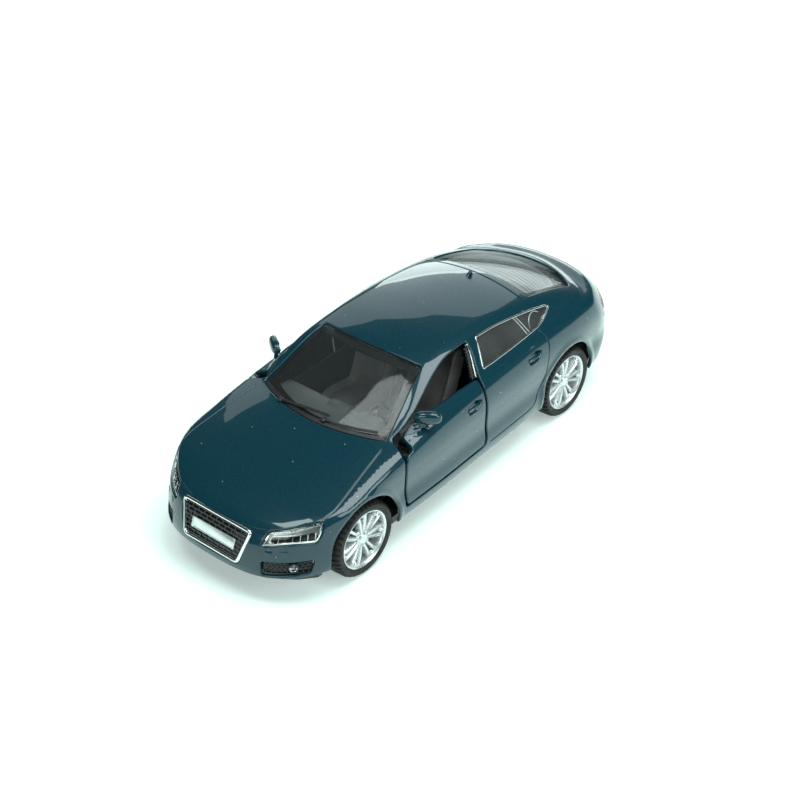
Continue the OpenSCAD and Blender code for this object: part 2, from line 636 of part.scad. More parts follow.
// ---- Pull-back motor: a box round the rear axle with a three-shaft gear train ----
motor_x = [-7.6, 5.4, 6.6];
motor_y = [12, 38.2];
motor_z = [4.4, 18.4];
motor_wall = 0.9;
pin_r = 0.6;
gear_play = 0.06;
compound_z = 11;
spring_z = 11.5;
// Shaft places from the centre distances of the meshing pairs
function mesh_distance(a, b) = tooth_m * (a + b) / 2;
compound_y = rear_axle_y - sqrt(pow(mesh_distance(axle_teeth, compound_teeth), 2) - pow(compound_z - axle_z, 2));
spring_y = compound_y - sqrt(pow(mesh_distance(pinion_teeth, spring_teeth), 2) - pow(spring_z - compound_z, 2));
// Directions from one shaft to the next, where the teeth mesh
axle_to_compound = atan2(compound_z - axle_z, compound_y - rear_axle_y);
compound_to_spring = atan2(spring_z - compound_z, spring_y - compound_y);

// Involute gear outline with some backlash; one tooth points along the first axis
pressure_angle = 25;
backlash = 0.12;
function involute(r, base) = r <= base ? 0 : let (a = acos(base / r)) tan(a) * 180 / PI - a;
function gear_outline(teeth) =
    let (rp = tooth_m * teeth / 2, base = rp * cos(pressure_angle),
        half = 90 / teeth * (1 - backlash), at_pitch = involute(rp, base),
        radii = [rp - 1.15 * tooth_m, max(base, rp - 0.6 * tooth_m), rp - 0.2 * tooth_m, rp,
            rp + 0.3 * tooth_m, rp + 0.6 * tooth_m, rp + 0.85 * tooth_m])
    [for (i = [0:teeth - 1]) each concat(
        [for (k = [0:len(radii) - 1]) let (a = half + at_pitch - involute(radii[k], base))
            radii[k] * [cos(360 * i / teeth - a), sin(360 * i / teeth - a)]],
        [for (k = [len(radii) - 1:-1:0]) let (a = half + at_pitch - involute(radii[k], base))
            radii[k] * [cos(360 * i / teeth + a), sin(360 * i / teeth + a)]])];
module gear(teeth, phase, x0, x1) {
    translate([x0, 0, 0]) rotate([90, 0, 90]) rotate([0, 0, phase])
        linear_extrude(x1 - x0) polygon(gear_outline(teeth));
}
module motor_case() {
    color(WHITE) difference() {
        union() {
            block([motor_x[0], motor_y[0], motor_z[0]], [motor_x[1], motor_y[1], motor_z[1]]);
            block([motor_x[0], motor_y[0] - 1.5, chassis_top_z + 0.1],
                [motor_x[1], motor_y[1] + 1.5, chassis_top_z + 1]);
        }
        block([motor_x[0] + motor_wall, motor_y[0] + motor_wall, motor_z[0] + motor_wall],
            [motor_x[1] + 1, motor_y[1] - motor_wall, motor_z[1] - motor_wall]);
        x_rod(-20, 20, rear_axle_y, axle_z, axle_r + axle_play);
        motor_pin_rods(pin_r);
    }
}
module motor_cover() {
    color(WHITE) difference() {
        block([motor_x[1], motor_y[0], motor_z[0]], [motor_x[2], motor_y[1], motor_z[1]]);
        x_rod(-20, 20, rear_axle_y, axle_z, axle_r + axle_play);
        motor_pin_rods(pin_r);
    }
}
module motor_pin_rods(r) {
    for (p = [[compound_y, compound_z], [spring_y, spring_z]])
        x_rod(motor_x[0], motor_x[2], p[0], p[1], r);
}
module motor_pins() {
    color(STEEL) motor_pin_rods(pin_r);
}
module axle_gear() {
    color(BRASS) translate([0, rear_axle_y, axle_z]) difference() {
        gear(axle_teeth, axle_to_compound, 1.2, 3.2);
        x_rod(0, 6, 0, 0, axle_r);
    }
}
module compound_gear() {
    color(WHITE) translate([0, compound_y, compound_z]) difference() {
        union() {
            gear(compound_teeth, axle_to_compound + 180 + 180 / compound_teeth, 1.4, 3);
            gear(pinion_teeth, compound_to_spring, -1.7, 1.4);
            x_rod(3, 5.2, 0, 0, 1.1);
            x_rod(-6.5, -1.7, 0, 0, 1.1);
        }
        x_rod(-20, 20, 0, 0, pin_r + gear_play);
    }
}
drum_x = [-6.2, -1.9, -0.3];
drum_r = 5.6;
module spring_gear() {
    color(WHITE) translate([0, spring_y, spring_z]) difference() {
        union() {
            gear(spring_teeth, compound_to_spring + 180 + 180 / spring_teeth, drum_x[1], drum_x[2]);
            x_rod(drum_x[0], drum_x[1] + 0.2, 0, 0, drum_r - 0.3);
            x_rod(drum_x[2], 5.2, 0, 0, 1.1);
        }
        x_rod(drum_x[0] - 1, drum_x[1] - 0.1, 0, 0, drum_r - 0.9);
        x_rod(-20, 20, 0, 0, pin_r + gear_play);
    }
}
// Flat spiral of spring steel in the drum, from the arbor to the wall
strip_t = 0.2;
arbor_r = 1.2;
module mainspring() {
    steps = spring_turns * 20;
    function at(i, off) = let (a = 360 * spring_turns * i / steps,
        r = arbor_r + off + (drum_r - 1.4 - arbor_r) * i / steps) r * [cos(a), sin(a)];
    color(STEEL) translate([drum_x[0] + 0.3, spring_y, spring_z]) rotate([90, 0, 90])
        linear_extrude(drum_x[1] - drum_x[0] - 0.8)
            polygon(concat([for (i = [0:steps]) at(i, strip_t)], [for (i = [steps:-1:0]) at(i, 0)]));
}

body_shell();
door_left();
door_right();
hinge_pin_left();
hinge_pin_right();
mirror_left();
mirror_right();
window_moulding();
interior_tray();
steering_wheel();
headlamp_reflector_left();
headlamp_reflector_right();
headlamp_lens_left();
headlamp_lens_right();
fog_grille_left();
fog_grille_right();
tail_lamp_left();
tail_lamp_right();
grille_frame();
grille_mesh();
number_plate();
chassis();
chassis_screws();
front_axle();
rim_front_left();
rim_front_right();
tyre_front_left();
tyre_front_right();
rear_axle();
rim_rear_left();
rim_rear_right();
tyre_rear_left();
tyre_rear_right();
motor_case();
motor_cover();
axle_gear();
compound_gear();
spring_gear();
mainspring();
motor_pins();
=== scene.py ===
"""Looks of a die-cast pull-back car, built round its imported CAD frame.

Lengths are in millimetres up to add(), which puts every mesh into the frame in metres.
The front of the car faces -Y and its left side is +X. The painted skin is the zero level of
body_field(), the same smooth field that shapes the CAD body, so that panels, glass, lamps and
trim are cut from one surface.
"""

import math

import bmesh
import bpy
import numpy as np
from mathutils import Matrix, Vector
from mathutils.geometry import delaunay_2d_cdt
from mathutils.kdtree import KDTree


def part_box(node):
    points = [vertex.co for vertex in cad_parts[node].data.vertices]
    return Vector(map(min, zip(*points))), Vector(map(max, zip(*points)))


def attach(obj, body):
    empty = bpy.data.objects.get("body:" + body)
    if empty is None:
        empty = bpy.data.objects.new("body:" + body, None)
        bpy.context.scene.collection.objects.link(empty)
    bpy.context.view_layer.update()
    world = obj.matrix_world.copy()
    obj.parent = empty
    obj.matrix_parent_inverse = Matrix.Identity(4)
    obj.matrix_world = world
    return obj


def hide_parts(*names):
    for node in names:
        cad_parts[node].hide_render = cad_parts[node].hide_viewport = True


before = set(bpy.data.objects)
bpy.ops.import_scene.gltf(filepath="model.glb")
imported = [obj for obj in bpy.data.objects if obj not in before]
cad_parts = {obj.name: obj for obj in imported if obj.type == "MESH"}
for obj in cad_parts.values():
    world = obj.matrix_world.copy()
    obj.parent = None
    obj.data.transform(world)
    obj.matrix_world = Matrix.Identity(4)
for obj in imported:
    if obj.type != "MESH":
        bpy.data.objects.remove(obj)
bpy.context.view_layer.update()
MM = 0.001
LEFT_RIGHT = ((1, "left"), (-1, "right"))
ON_PLANE = 1e-6
HALVINGS = 26


def node_mm(name):
    """Lowest and highest corner of a CAD node, in millimetres."""
    low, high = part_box(name)
    return np.array(low) / MM, np.array(high) / MM


# ---- Body field ----
NOSE_Y = -63.5
TAIL_Y = 63.8
SILL_Z = 7.4
BELT_Z = 27.4
SKIN = 1.2
ARCH_R = 10.4
AXLE_Z = 9.1
FRONT_AXLE_Y = -40.4
REAR_AXLE_Y = 34.3


def spline(rows):
    """Smooth curve through [position, value] rows, flat beyond its ends."""
    p = np.array(rows, float)
    x, y = p[:, 0], p[:, 1]
    h = np.diff(x)
    d = np.diff(y) / h
    m = np.concatenate([[d[0]], (d[:-1] * h[1:] + d[1:] * h[:-1]) / (h[1:] + h[:-1]), [d[-1]]])

    def value(at):
        t = np.clip(at, x[0], x[-1])
        i = np.clip(np.searchsorted(x, t, "right") - 1, 0, len(h) - 1)
        s = (t - x[i]) / h[i]
        s2 = s * s
        s3 = s2 * s
        return (y[i] * (2 * s3 - 3 * s2 + 1) + y[i + 1] * (3 * s2 - 2 * s3)
                + h[i] * (m[i] * (s3 - 2 * s2 + s) + m[i + 1] * (s3 - s2)))
    return value


deck_z = spline([[-63.5, 13.5], [-61.5, 16.2], [-59, 18], [-54, 20.2], [-47, 22.1], [-40, 23.7],
                 [-32, 25.2], [-20, 26.6], [0, 27.3], [20, 27.8], [35, 27.9], [46, 27.6],
                 [50, 27.3], [54, 27.2], [56, 27], [60, 25.8]])
deck_drop = spline([[-63.5, 2.4], [-57, 2], [-48, 2.1], [-38, 2.4], [-27, 2.3], [-15, 1.4],
                    [0, 0.7], [20, 0.6], [45, 1.4], [56, 1.8], [63.5, 2.5]])
plan_x = spline([[-63.5, 21], [-60, 22.2], [-56, 23], [-50, 23.6], [-43, 23.9], [-36, 24.1],
                 [-26, 24.2], [-15, 24.2], [-4, 23.9], [8, 23.6], [16, 23.4], [23, 23.1],
                 [30, 22.9], [38, 22.6], [45, 22], [50, 21.2], [54, 19.9], [58, 17.9],
                 [61, 15.6], [63.5, 13]])
side_bulge = spline([[4, -2.6], [6, -1.3], [8.5, -0.35], [11, -0.1], [14, -0.45], [18, -0.15],
                     [20.5, 0], [22.5, -0.15], [25, -0.9], [28, -2.6], [31, -5]])
nose_back = spline([[4, 1.2], [6.5, 0.2], [8.5, 0], [11, 0.35], [14, 1.2], [17, 2.4], [20, 4.2]])
tail_back = spline([[4, 5.2], [7, 3.2], [10, 1.2], [13, 0.1], [15.5, 0], [18, 0.8], [20, 1.6],
                    [22, 2.8], [24, 4.5], [26.5, 7.2], [29, 10]])
roof_z = spline([[-40, 21], [-34, 24.2], [-32, 25.3], [-22, 30.3], [-11.5, 34.9], [-5, 36.05],
                 [4, 36.5], [14, 36.2], [24, 35.3], [32, 33.95], [40, 31.8], [45.7, 29.8],
                 [50, 28.1], [54, 26.6], [58, 25]])
roof_crown = spline([[-40, 10], [-27, 9.8], [-10, 7.8], [0, 6.2], [20, 6.8], [35, 8.5], [48, 10]])
cabin_half = spline([[-40, 14.5], [-33, 17.2], [-27, 19.2], [-20, 20.6], [-10, 21.1], [5, 21.2],
                     [20, 20.9], [32, 20], [42, 18.6], [50, 17.2], [58, 15.5]])


def blend_max(a, b, r):
    return np.maximum(a, b) + np.maximum(r - np.abs(a - b), 0) ** 3 / (6 * r * r)


def arch_lip(y, z, axle_y):
    return 0.35 * np.exp(-((np.hypot(y - axle_y, z - AXLE_Z) - ARCH_R - 0.6) / 0.9) ** 2)


def body_field(p):
    """0 on the painted skin and negative inside it."""
    x, y, z = p[:, 0], p[:, 1], p[:, 2]
    ax = np.abs(x)
    side = plan_x(y) + side_bulge(z) + arch_lip(y, z, FRONT_AXLE_Y) + arch_lip(y, z, REAR_AXLE_Y)
    nose = NOSE_Y + nose_back(z) + 0.004 * x ** 2 + 0.000033 * x ** 4
    tail = TAIL_Y - tail_back(z) - 0.0125 * x ** 2 - 0.00003 * x ** 4
    deck = deck_z(y) - deck_drop(y) * (ax / plan_x(y)) ** 2.5
    low = blend_max(blend_max(blend_max(z - deck, ax - side, 2.6), nose - y, 2.6), y - tail, 2)
    h = np.maximum(z - BELT_Z, -1.2)
    cabin = cabin_half(y) - 0.6 * h - 0.012 * h * h
    roof = roof_z(y) - roof_crown(y) / 1000 * x ** 2
    high = blend_max(blend_max(blend_max(z - roof, ax - cabin, 3.2), y - tail + 0.7, 1), -38 - y, 1)
    return np.maximum(-blend_max(-low, -high, 0.8), 4 - z)


def slopes(p, step=0.02):
    """Gradient of the field."""
    out = np.empty_like(p)
    for k in range(3):
        d = np.zeros(3)
        d[k] = step
        out[:, k] = (body_field(p + d) - body_field(p - d)) / (2 * step)
    return out


def normals_at(p):
    g = slopes(p)
    return g / np.linalg.norm(g, axis=1)[:, None]


def settle(p, level=0.0, rounds=4):
    """Moves points along the gradient onto one level of the field."""
    p = np.array(p, float)
    for _ in range(rounds):
        g = slopes(p)
        p -= ((body_field(p) - level) / (g * g).sum(1))[:, None] * g
    return p


def cast(origins, direction, reach=(0, 60), level=0.0):
    """First point where rays from outside meet the skin, by halving."""
    origins = np.atleast_2d(np.array(origins, float))
    direction = np.broadcast_to(np.array(direction, float), origins.shape)
    near, far = np.full(len(origins), float(reach[0])), np.full(len(origins), float(reach[1]))
    for _ in range(HALVINGS):
        mid = (near + far) / 2
        outside = body_field(origins + mid[:, None] * direction) > level
        near, far = np.where(outside, mid, near), np.where(outside, far, mid)
    return origins + near[:, None] * direction


# ---- A flat map of the skin: a capsule round the car unrolled like a Mercator chart ----
SPINE_Y = (-46.0, 42.0)
CHART_R = 22.0
TOP_V = CHART_R * math.pi / 2


def spine(y):
    t = (y - SPINE_Y[0]) / (SPINE_Y[1] - SPINE_Y[0])
    return np.stack([0 * y, y, 12.8 + 4.2 * np.clip(3 * t, 0, 1)], 1)


def flat(p):
    y = np.clip(p[:, 1], *SPINE_Y)
    d = p - spine(y)
    out = np.hypot(d[:, 0], d[:, 2])
    return np.stack([y + CHART_R * np.arcsinh(d[:, 1] / out),
                     CHART_R * np.arctan2(d[:, 2], d[:, 0])], 1)


def lift(q, level=0.0):
    y = np.clip(q[:, 0], *SPINE_Y)
    a, v = (q[:, 0] - y) / CHART_R, q[:, 1] / CHART_R
    ray = np.stack([np.cos(v) / np.cosh(a), np.tanh(a), np.sin(v) / np.cosh(a)], 1)
    start = spine(y)
    return cast(start + 60 * ray, -ray, (0, 59), level)


# ---- Outlines ----
def soften(points, r, closed=True, n=5):
    """Rounds each corner with reach r, or the corner's own third number."""
    pts = [np.array(p[:2], float) for p in points]
    reach = [p[2] if len(p) > 2 else r for p in points]
    out = []
    for i, v in enumerate(pts):
        if not closed and i in (0, len(pts) - 1):
            out.append(v)
            continue
        a, b = pts[i - 1] - v, pts[(i + 1) % len(pts)] - v
        s = v + a * min(reach[i] / np.linalg.norm(a), 0.49)
        e = v + b * min(reach[i] / np.linalg.norm(b), 0.49)
        out += [s * (1 - t) ** 2 + v * 2 * t * (1 - t) + e * t * t for t in np.linspace(0, 1, n)]
    return np.array(out)


def resample(points, step, closed=True):
    p = np.vstack([points, points[:1]]) if closed else np.array(points)
    run = np.concatenate([[0], np.cumsum(np.linalg.norm(np.diff(p, axis=0), axis=1))])
    n = max(3, int(round(run[-1] / step)))
    at = np.linspace(0, run[-1], n + 1)
    out = np.stack([np.interp(at, run, p[:, k]) for k in range(p.shape[1])], 1)
    return out[:-1] if closed else out


def from_side(q):
    """(y, z) points onto the left side."""
    return cast([[40, a, b] for a, b in q], [-1, 0, 0], (0, 36))


def from_top(q):
    return cast([[a, b, 60] for a, b in q], [0, 0, -1], (0, 50))


def from_front(q):
    return cast([[a, -90, b] for a, b in q], [0, 1, 0], (0, 50))


def from_rear(q):
    return cast([[a, 90, b] for a, b in q], [0, -1, 0], (0, 50))


def from_corner(q, turn, outward):
    """(s, z) points on an upright plane turned about Z, seen along its normal."""
    c, s = math.cos(math.radians(turn)), math.sin(math.radians(turn))
    far = outward * 75
    start = [[a * c - far * s, a * s + far * c, b] for a, b in q]
    return cast(start, [outward * s, -outward * c, 0], (0, 40))


LAMP_TURN = 40


def front_corner(q):
    return from_corner(q, LAMP_TURN, -1)


def rear_corner(q):
    return from_corner(q, -LAMP_TURN, 1)


DOOR = [(-27.05, 10.5), (0.35, 10.5), (1.2, 12.5), (0.7, 19), (0.8, 27.55), (-19.9, 27.55, 3),
        (-24.2, 24.9), (-24.4, 23.4), (-26.4, 23.2), (-27.2, 21)]
DOORWAY = [(-27.6, 10.15), (0.8, 10.15), (1.85, 12.5), (1.35, 19, 3), (1.35, 27.6, 1),
           (3.2, 34.3, 0.7), (-2.5, 34.2, 3), (-6.3, 33.6, 3), (-11.3, 32.1, 3), (-16.1, 29.9, 3),
           (-20.2, 27.6, 3), (-24.45, 25.6), (-25.5, 25.2), (-26.5, 24.4), (-27.5, 23.7), (-27.7, 21.2)]
REAR_WINDOW = [(3.3, 28.3), (5.7, 34.2, 0.7), (12, 34, 3), (18.3, 33.3, 3), (25.5, 32.2, 3),
               (30.9, 31), (31.9, 30.3), (25.9, 28.5, 2), (21, 28.45, 3), (9.6, 28.3, 3)]
HEADLAMP = [(-29.6, 14.5), (-27.5, 17.7), (-21.6, 18.8, 3), (-15.9, 19.3), (-16.5, 16.9),
            (-17.4, 15.3), (-23.1, 15.6, 3)]
FOG = [(-29.5, 11.5), (-18, 11.5), (-19, 8.4), (-29.6, 7.9)]
TAIL_LAMP = [(-31, 19.6), (-17.4, 18.6), (-18.2, 22.6), (-30.5, 23.4)]
GRILLE_HALF = [(0, 16.9), (10.2, 16.9), (8.2, 9.2), (0, 9.2)]
PLATE_HALF = [(0, 13.4), (8.2, 13.4), (7.6, 19.2), (0, 19.2)]


def windscreen_line(shrink=0.0, top=0.0, bottom=0.0):
    """Half outline of the windscreen seen from above, from the roof down to the cowl."""
    t = np.linspace(0, 1, 9)
    head = [(14.2 * a - shrink * a, -11.7 + 1.6 * a * a - top) for a in t]
    foot = [((18.2 - shrink * 1.1) * a, -32 + 5 * a * a + bottom) for a in t[::-1]]
    return head, foot


def back_window_line(shrink=0.0, top=0.0, bottom=0.0):
    t = np.linspace(0, 1, 11)
    head = [((14.2 - shrink) * a, 28.9 - 0.8 * a * a + top) for a in t]
    foot = [((14.2 - shrink) * a, 49.9 - 4.6 * a ** 2.8 - bottom) for a in t[::-1]]
    return head, foot


def half_outline(parts, r):
    head, foot = parts
    pts = [(*p, r if i in (len(head) - 1, len(head)) else 2) for i, p in enumerate([*head, *foot])]
    return soften(pts, r, closed=False)


def whole_outline(parts, r):
    half = half_outline(parts, r)
    return np.vstack([half, (half * [-1, 1])[-2:0:-1]])


def sill_line(step=0.5):
    """Lower edge of the body, from the middle of the nose round the left side to the tail."""
    reach = math.sqrt(ARCH_R ** 2 - (AXLE_Z - SILL_Z) ** 2)
    dip = math.asin((AXLE_Z - SILL_Z) / ARCH_R)
    fore, aft = FRONT_AXLE_Y - reach, REAR_AXLE_Y + reach

    def corner(y, sign):
        a = np.linspace(0, math.pi / 2, int(50 / step))
        ray = np.stack([np.sin(a), sign * np.cos(a), 0 * a], 1)
        return cast(np.array([0, y, SILL_Z]) + 40 * ray, -ray, (0, 39))

    def arch(y):
        a = np.linspace(math.pi + dip, -dip, int(round((math.pi + 2 * dip) * ARCH_R / step)))
        return from_side(np.stack([y + ARCH_R * np.cos(a), AXLE_Z + ARCH_R * np.sin(a)], 1))
    y = np.arange(FRONT_AXLE_Y + reach + step, REAR_AXLE_Y - reach, step)
    between = from_side(np.stack([y, 0 * y + SILL_Z], 1))
    return np.vstack([corner(fore, -1)[:-1], arch(FRONT_AXLE_Y), between, arch(REAR_AXLE_Y),
                      corner(aft, 1)[-2::-1]])


# ---- Meshes ----
def inside(points, loop):
    """Which 2-D points lie inside a closed loop."""
    x, y = points[:, 0], points[:, 1]
    hit = np.zeros(len(points), bool)
    a, b = loop, np.roll(loop, -1, axis=0)
    for (x0, y0), (x1, y1) in zip(a, b):
        if y0 != y1:
            crossing = ((y0 > y) != (y1 > y)) & (x < (x1 - x0) * (y - y0) / (y1 - y0) + x0)
            hit ^= crossing
    return hit


def area(loop):
    x, y = loop[:, 0], loop[:, 1]
    return 0.5 * np.sum(x * np.roll(y, -1) - y * np.roll(x, -1))


def frames(p, closed):
    """Surface normal and the direction to the left of the run, at each point of a line."""
    n = normals_at(p)
    if closed:
        t = np.roll(p, -1, axis=0) - np.roll(p, 1, axis=0)
    else:
        t = np.gradient(p, axis=0)
    b = np.cross(n, t)
    b -= (b * n).sum(1)[:, None] * n
    if not closed:
        for i in (0, -1):
            if abs(p[i, 0]) < 0.02:
                b[i, 0] = 0
    return n, b / np.linalg.norm(b, axis=1)[:, None]


def inset(loop, distance, level=0.0):
    """A closed 3-D line moved towards its own inside along the skin."""
    if area(flat(loop)) < 0:
        loop = loop[::-1]
    _, b = frames(loop, True)
    return settle(loop + distance * b, level)


# Offset from the middle of an engraved line, and the depth there.
GROOVE = ((-0.32, 0.0), (-0.17, 0.1), (0.0, 0.28), (0.17, 0.1), (0.32, 0.0))


def panel(outer, holes=(), spacing=1.0, roll=0.3, depth=SKIN, level=0.0, grooves=(), dent=None,
          fine=()):
    """A piece of the skin as a closed shell with rolled edges.

    outer is one closed line, or a list of open lines that the middle plane joins up; holes are
    closed lines. Returns points, faces and normals. Zero normals are left to the mesh.
    """
    closed = not isinstance(outer, list)
    runs = [(outer, True)] if closed else [(line, False) for line in outer]
    if closed and area(flat(outer)) < 0:
        runs = [(outer[::-1], True)]
    runs += [(h if area(flat(h)) < 0 else h[::-1], True) for h in holes]
    base, edges, loops, rims = [], [], [], []

    def put(points3, zero=None):
        start = sum(len(b[0]) for b in base)
        base.append((points3, np.zeros(len(points3)) if zero is None else zero))
        return list(range(start, start + len(points3)))
    boundary = []
    for k, (line, is_loop) in enumerate(runs):
        line = settle(line, level)
        n, b = frames(line, is_loop)
        ids = put(settle(line + roll * b, level))
        rims.append((line, n, b, ids, is_loop))
        if is_loop and (closed or k >= len(outer)):
            edges += [(ids[i], ids[(i + 1) % len(ids)]) for i in range(len(ids))]
            loops.append(ids)
        else:
            boundary.append(ids)
    seams = []
    if boundary:
        ring = []
        for k, ids in enumerate(boundary):
            ring += ids
            a = flat(np.concatenate([b[0] for b in base]))[ids[-1]]
            c = flat(np.concatenate([b[0] for b in base]))[boundary[(k + 1) % len(boundary)][0]]
            n = max(2, int(abs(c[0] - a[0]) / spacing))
            q = np.stack([np.linspace(a[0], c[0], n + 1)[1:-1],
                          np.full(n - 1, math.copysign(TOP_V, a[1]))], 1)
            if len(q):
                p = lift(q, level)
                p[:, 0] = 0
                seam = put(p)
                seams += seam
                ring += seam
        edges += [(ring[i], ring[(i + 1) % len(ring)]) for i in range(len(ring))]
        loops.insert(0, ring)
    for line in grooves:
        line = settle(line, level)
        n, b = frames(line, False)
        for offset, deep in GROOVE:
            ids = put(settle(line + offset * b, level), np.full(len(line), deep))
            edges += list(zip(ids[:-1], ids[1:]))
    fixed = np.concatenate([b[0] for b in base])
    tree = KDTree(len(fixed))
    for i, p in enumerate(fixed):
        tree.insert(p, i)
    tree.balance()
    fixed_flat = flat(fixed)
    limits = fixed_flat[loops[0]]
    lo, hi = limits.min(0), limits.max(0)
    rows, u, odd = [], lo[0], 0
    while u < hi[0]:
        a = max(SPINE_Y[0] - u, 0, u - SPINE_Y[1]) / CHART_R
        stretch = math.cosh(a)
        v = np.arange(lo[1] + odd * spacing * stretch / 2, hi[1], spacing * stretch)
        rows.append(np.stack([np.full(len(v), u), v], 1))
        u += spacing * 0.87 * stretch
        odd = 1 - odd
    grid = np.concatenate(rows)
    grid = grid[inside(grid, limits)]
    free = lift(grid, level)
    for centre, radius, step in fine:
        centre = np.array(centre, float)
        d = np.linalg.norm(free - centre, axis=1)
        free, grid = free[d > radius], grid[d > radius]
        k = np.arange(-radius, radius + step / 2, step)
        yy, zz = np.meshgrid(k, k)
        spot = np.stack([0 * yy.ravel(), yy.ravel(), zz.ravel()], 1)
        spot = spot[np.linalg.norm(spot, axis=1) <= radius]
        spot = settle(centre + spot, level)
        free, grid = np.vstack([free, spot]), np.vstack([grid, flat(spot)])
    clearance = (0.5 if spacing < 0.5 else 0.55) * min(spacing, 0.8)
    far = np.array([tree.find(p)[2] for p in free]) > clearance
    free, grid = free[far], grid[far]
    plane = np.vstack([fixed_flat, grid])
    known = np.vstack([fixed, free])
    deeps = np.concatenate([b[1] for b in base] + [np.zeros(len(free))])
    verts2, _, tris, origin, _, _ = delaunay_2d_cdt(
        [Vector(q) for q in plane.tolist()], edges, [], 0, 1e-5, True)
    verts2 = np.array([tuple(v) for v in verts2])
    tris = np.array([t for t in tris if len(t) == 3])
    centre = verts2[tris].mean(1)
    keep = inside(centre, fixed_flat[loops[0]])
    for loop in loops[1:]:
        keep &= ~inside(centre, fixed_flat[loop])
    tris = tris[keep]
    pts = np.zeros((len(verts2), 3))
    deep = np.zeros(len(verts2))
    new = []
    place = {}
    for i, ids in enumerate(origin):
        if ids:
            first = min(ids)
            pts[i], deep[i] = known[first], deeps[first]
            for j in ids:
                place[j] = i
        else:
            new.append(i)
    if new:
        pts[new] = lift(verts2[new], level)
    normal = normals_at(pts)
    shown = normal.copy()
    if dent is not None:
        extra = dent(pts)
        shown[extra > 1e-4] = 0
        deep = deep + extra
    shown[(deep > 0.05) & (deep < 0.29)] = 0
    front = pts - deep[:, None] * normal
    for i in seams:
        front[place[i], 0] = 0
        shown[place[i], 0] = 0
    inner = pts - depth * normal
    inner[np.abs(pts[:, 0]) < ON_PLANE, 0] = 0
    points, shades = [front, inner], [shown, -normal]
    rear = len(front)
    total = 2 * rear
    faces = [tuple(t) for t in tris.tolist()]
    faces += [(c + rear, b + rear, a + rear) for a, b, c in tris.tolist()]
    for line, n, b, ids, is_loop in rims:
        previous = [place[i] for i in ids]
        m = len(ids)
        steps = [(math.sin(a), math.cos(a)) for a in np.linspace(0, math.pi / 2, 5)[1:]]
        rows = [(roll * (1 - s), roll * (1 - c), s, c) for s, c in steps] + [(0, depth, 1, 0)]
        for away, down, s, c in rows:
            p = line + away * b
            p = settle(p, level, 2) - down * n if away else line - down * n
            shade = c * n - s * b
            for i in (0, -1):
                if not is_loop and abs(line[i, 0]) < 0.02:
                    p[i, 0] = 0
                    shade[i, 0] = 0
            points.append(p)
            shades.append(shade)
            row = list(range(total, total + m))
            total += m
            faces += strip(previous, row, is_loop)
            previous = row
        faces += strip(previous, [place[i] + rear for i in ids], is_loop)
    return np.vstack(points), faces, np.vstack(shades)


def strip(a, b, closed):
    n = len(a)
    last = n if closed else n - 1
    return [(a[i], b[i], b[(i + 1) % n], a[(i + 1) % n]) for i in range(last)]


def doubled(points, faces, shades):
    """Joins a left half to its mirror image along the middle plane."""
    on_plane = np.abs(points[:, 0]) < ON_PLANE
    extra = np.where(~on_plane)[0]
    other = np.arange(len(points))
    other[extra] = len(points) + np.arange(len(extra))
    flip = [-1, 1, 1]
    faces = faces + [tuple(int(other[i]) for i in reversed(f)) for f in faces]
    return np.vstack([points, points[extra] * flip]), faces, np.vstack([shades, shades[extra] * flip])


def mirrored(mesh, side):
    """A mesh for one side: as it is on the left, mirrored on the right."""
    if side > 0:
        return mesh
    flip = [-1, 1, 1]
    return tuple([mesh[0] * flip, [tuple(reversed(f)) for f in mesh[1]],
                  *[m * flip for m in mesh[2:]]])


def joined(meshes):
    points, faces, start = [], [], 0
    for mesh in meshes:
        points.append(mesh[0])
        faces += [tuple(i + start for i in f) for f in mesh[1]]
        start += len(mesh[0])
    return np.vstack(points), faces


def add(name, mesh, material, body="car_body", stands=(), sharp=38):
    """Makes the piece, puts it on its body and hides the CAD parts it stands for."""
    data = bpy.data.meshes.new(name)
    data.from_pydata((np.array(mesh[0]) * MM).tolist(), [], mesh[1])
    if len(mesh) < 3:
        work = bmesh.new()
        work.from_mesh(data)
        bmesh.ops.recalc_face_normals(work, faces=work.faces)
        work.to_mesh(data)
        work.free()
    data.polygons.foreach_set("use_smooth", [True] * len(data.polygons))
    if len(mesh) < 3:
        data.set_sharp_from_angle(angle=math.radians(sharp))
    else:
        data.normals_split_custom_set_from_vertices(mesh[2].tolist())
    data.materials.append(material)
    piece = bpy.data.objects.new(name, data)
    bpy.context.scene.collection.objects.link(piece)
    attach(piece, body)
    if stands:
        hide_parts(*stands)
    return piece


# ---- Small solids ----
def shrink(outline, d):
    """A counter-clockwise 2-D outline moved inwards."""
    p = np.array(outline, float)
    if area(p) < 0:
        p = p[::-1]
    e = np.roll(p, -1, axis=0) - p
    e /= np.linalg.norm(e, axis=1)[:, None] + 1e-12
    n = np.stack([-e[:, 1], e[:, 0]], 1)
    m = n + np.roll(n, 1, axis=0)
    m /= np.maximum((m * m).sum(1), 0.5)[:, None] / 2
    return p + d * m


def prism(outline, low, high, bevel, at):
    """An outline given thickness, with rounded edges; at() places (a, b, c) points."""
    rows, soft = [], bevel * 0.3
    for d, c in ((bevel, low), (soft, low + soft), (0, low + bevel), (0, high - bevel),
                 (soft, high - soft), (bevel, high)):
        q = shrink(outline, d)
        rows.append(at(np.column_stack([q, np.full(len(q), c)])))
    n = len(outline)
    faces = [tuple(range(n))[::-1], tuple(range(5 * n, 6 * n))]
    for k in range(5):
        faces += [(k * n + i, k * n + (i + 1) % n, (k + 1) * n + (i + 1) % n, (k + 1) * n + i)
                  for i in range(n)]
    return np.vstack(rows), faces


def frame_at(origin, ax, ay, az):
    """Places local points with the three given axes."""
    m = np.array([ax, ay, az], float)
    return lambda q: np.array(origin, float) + q @ m


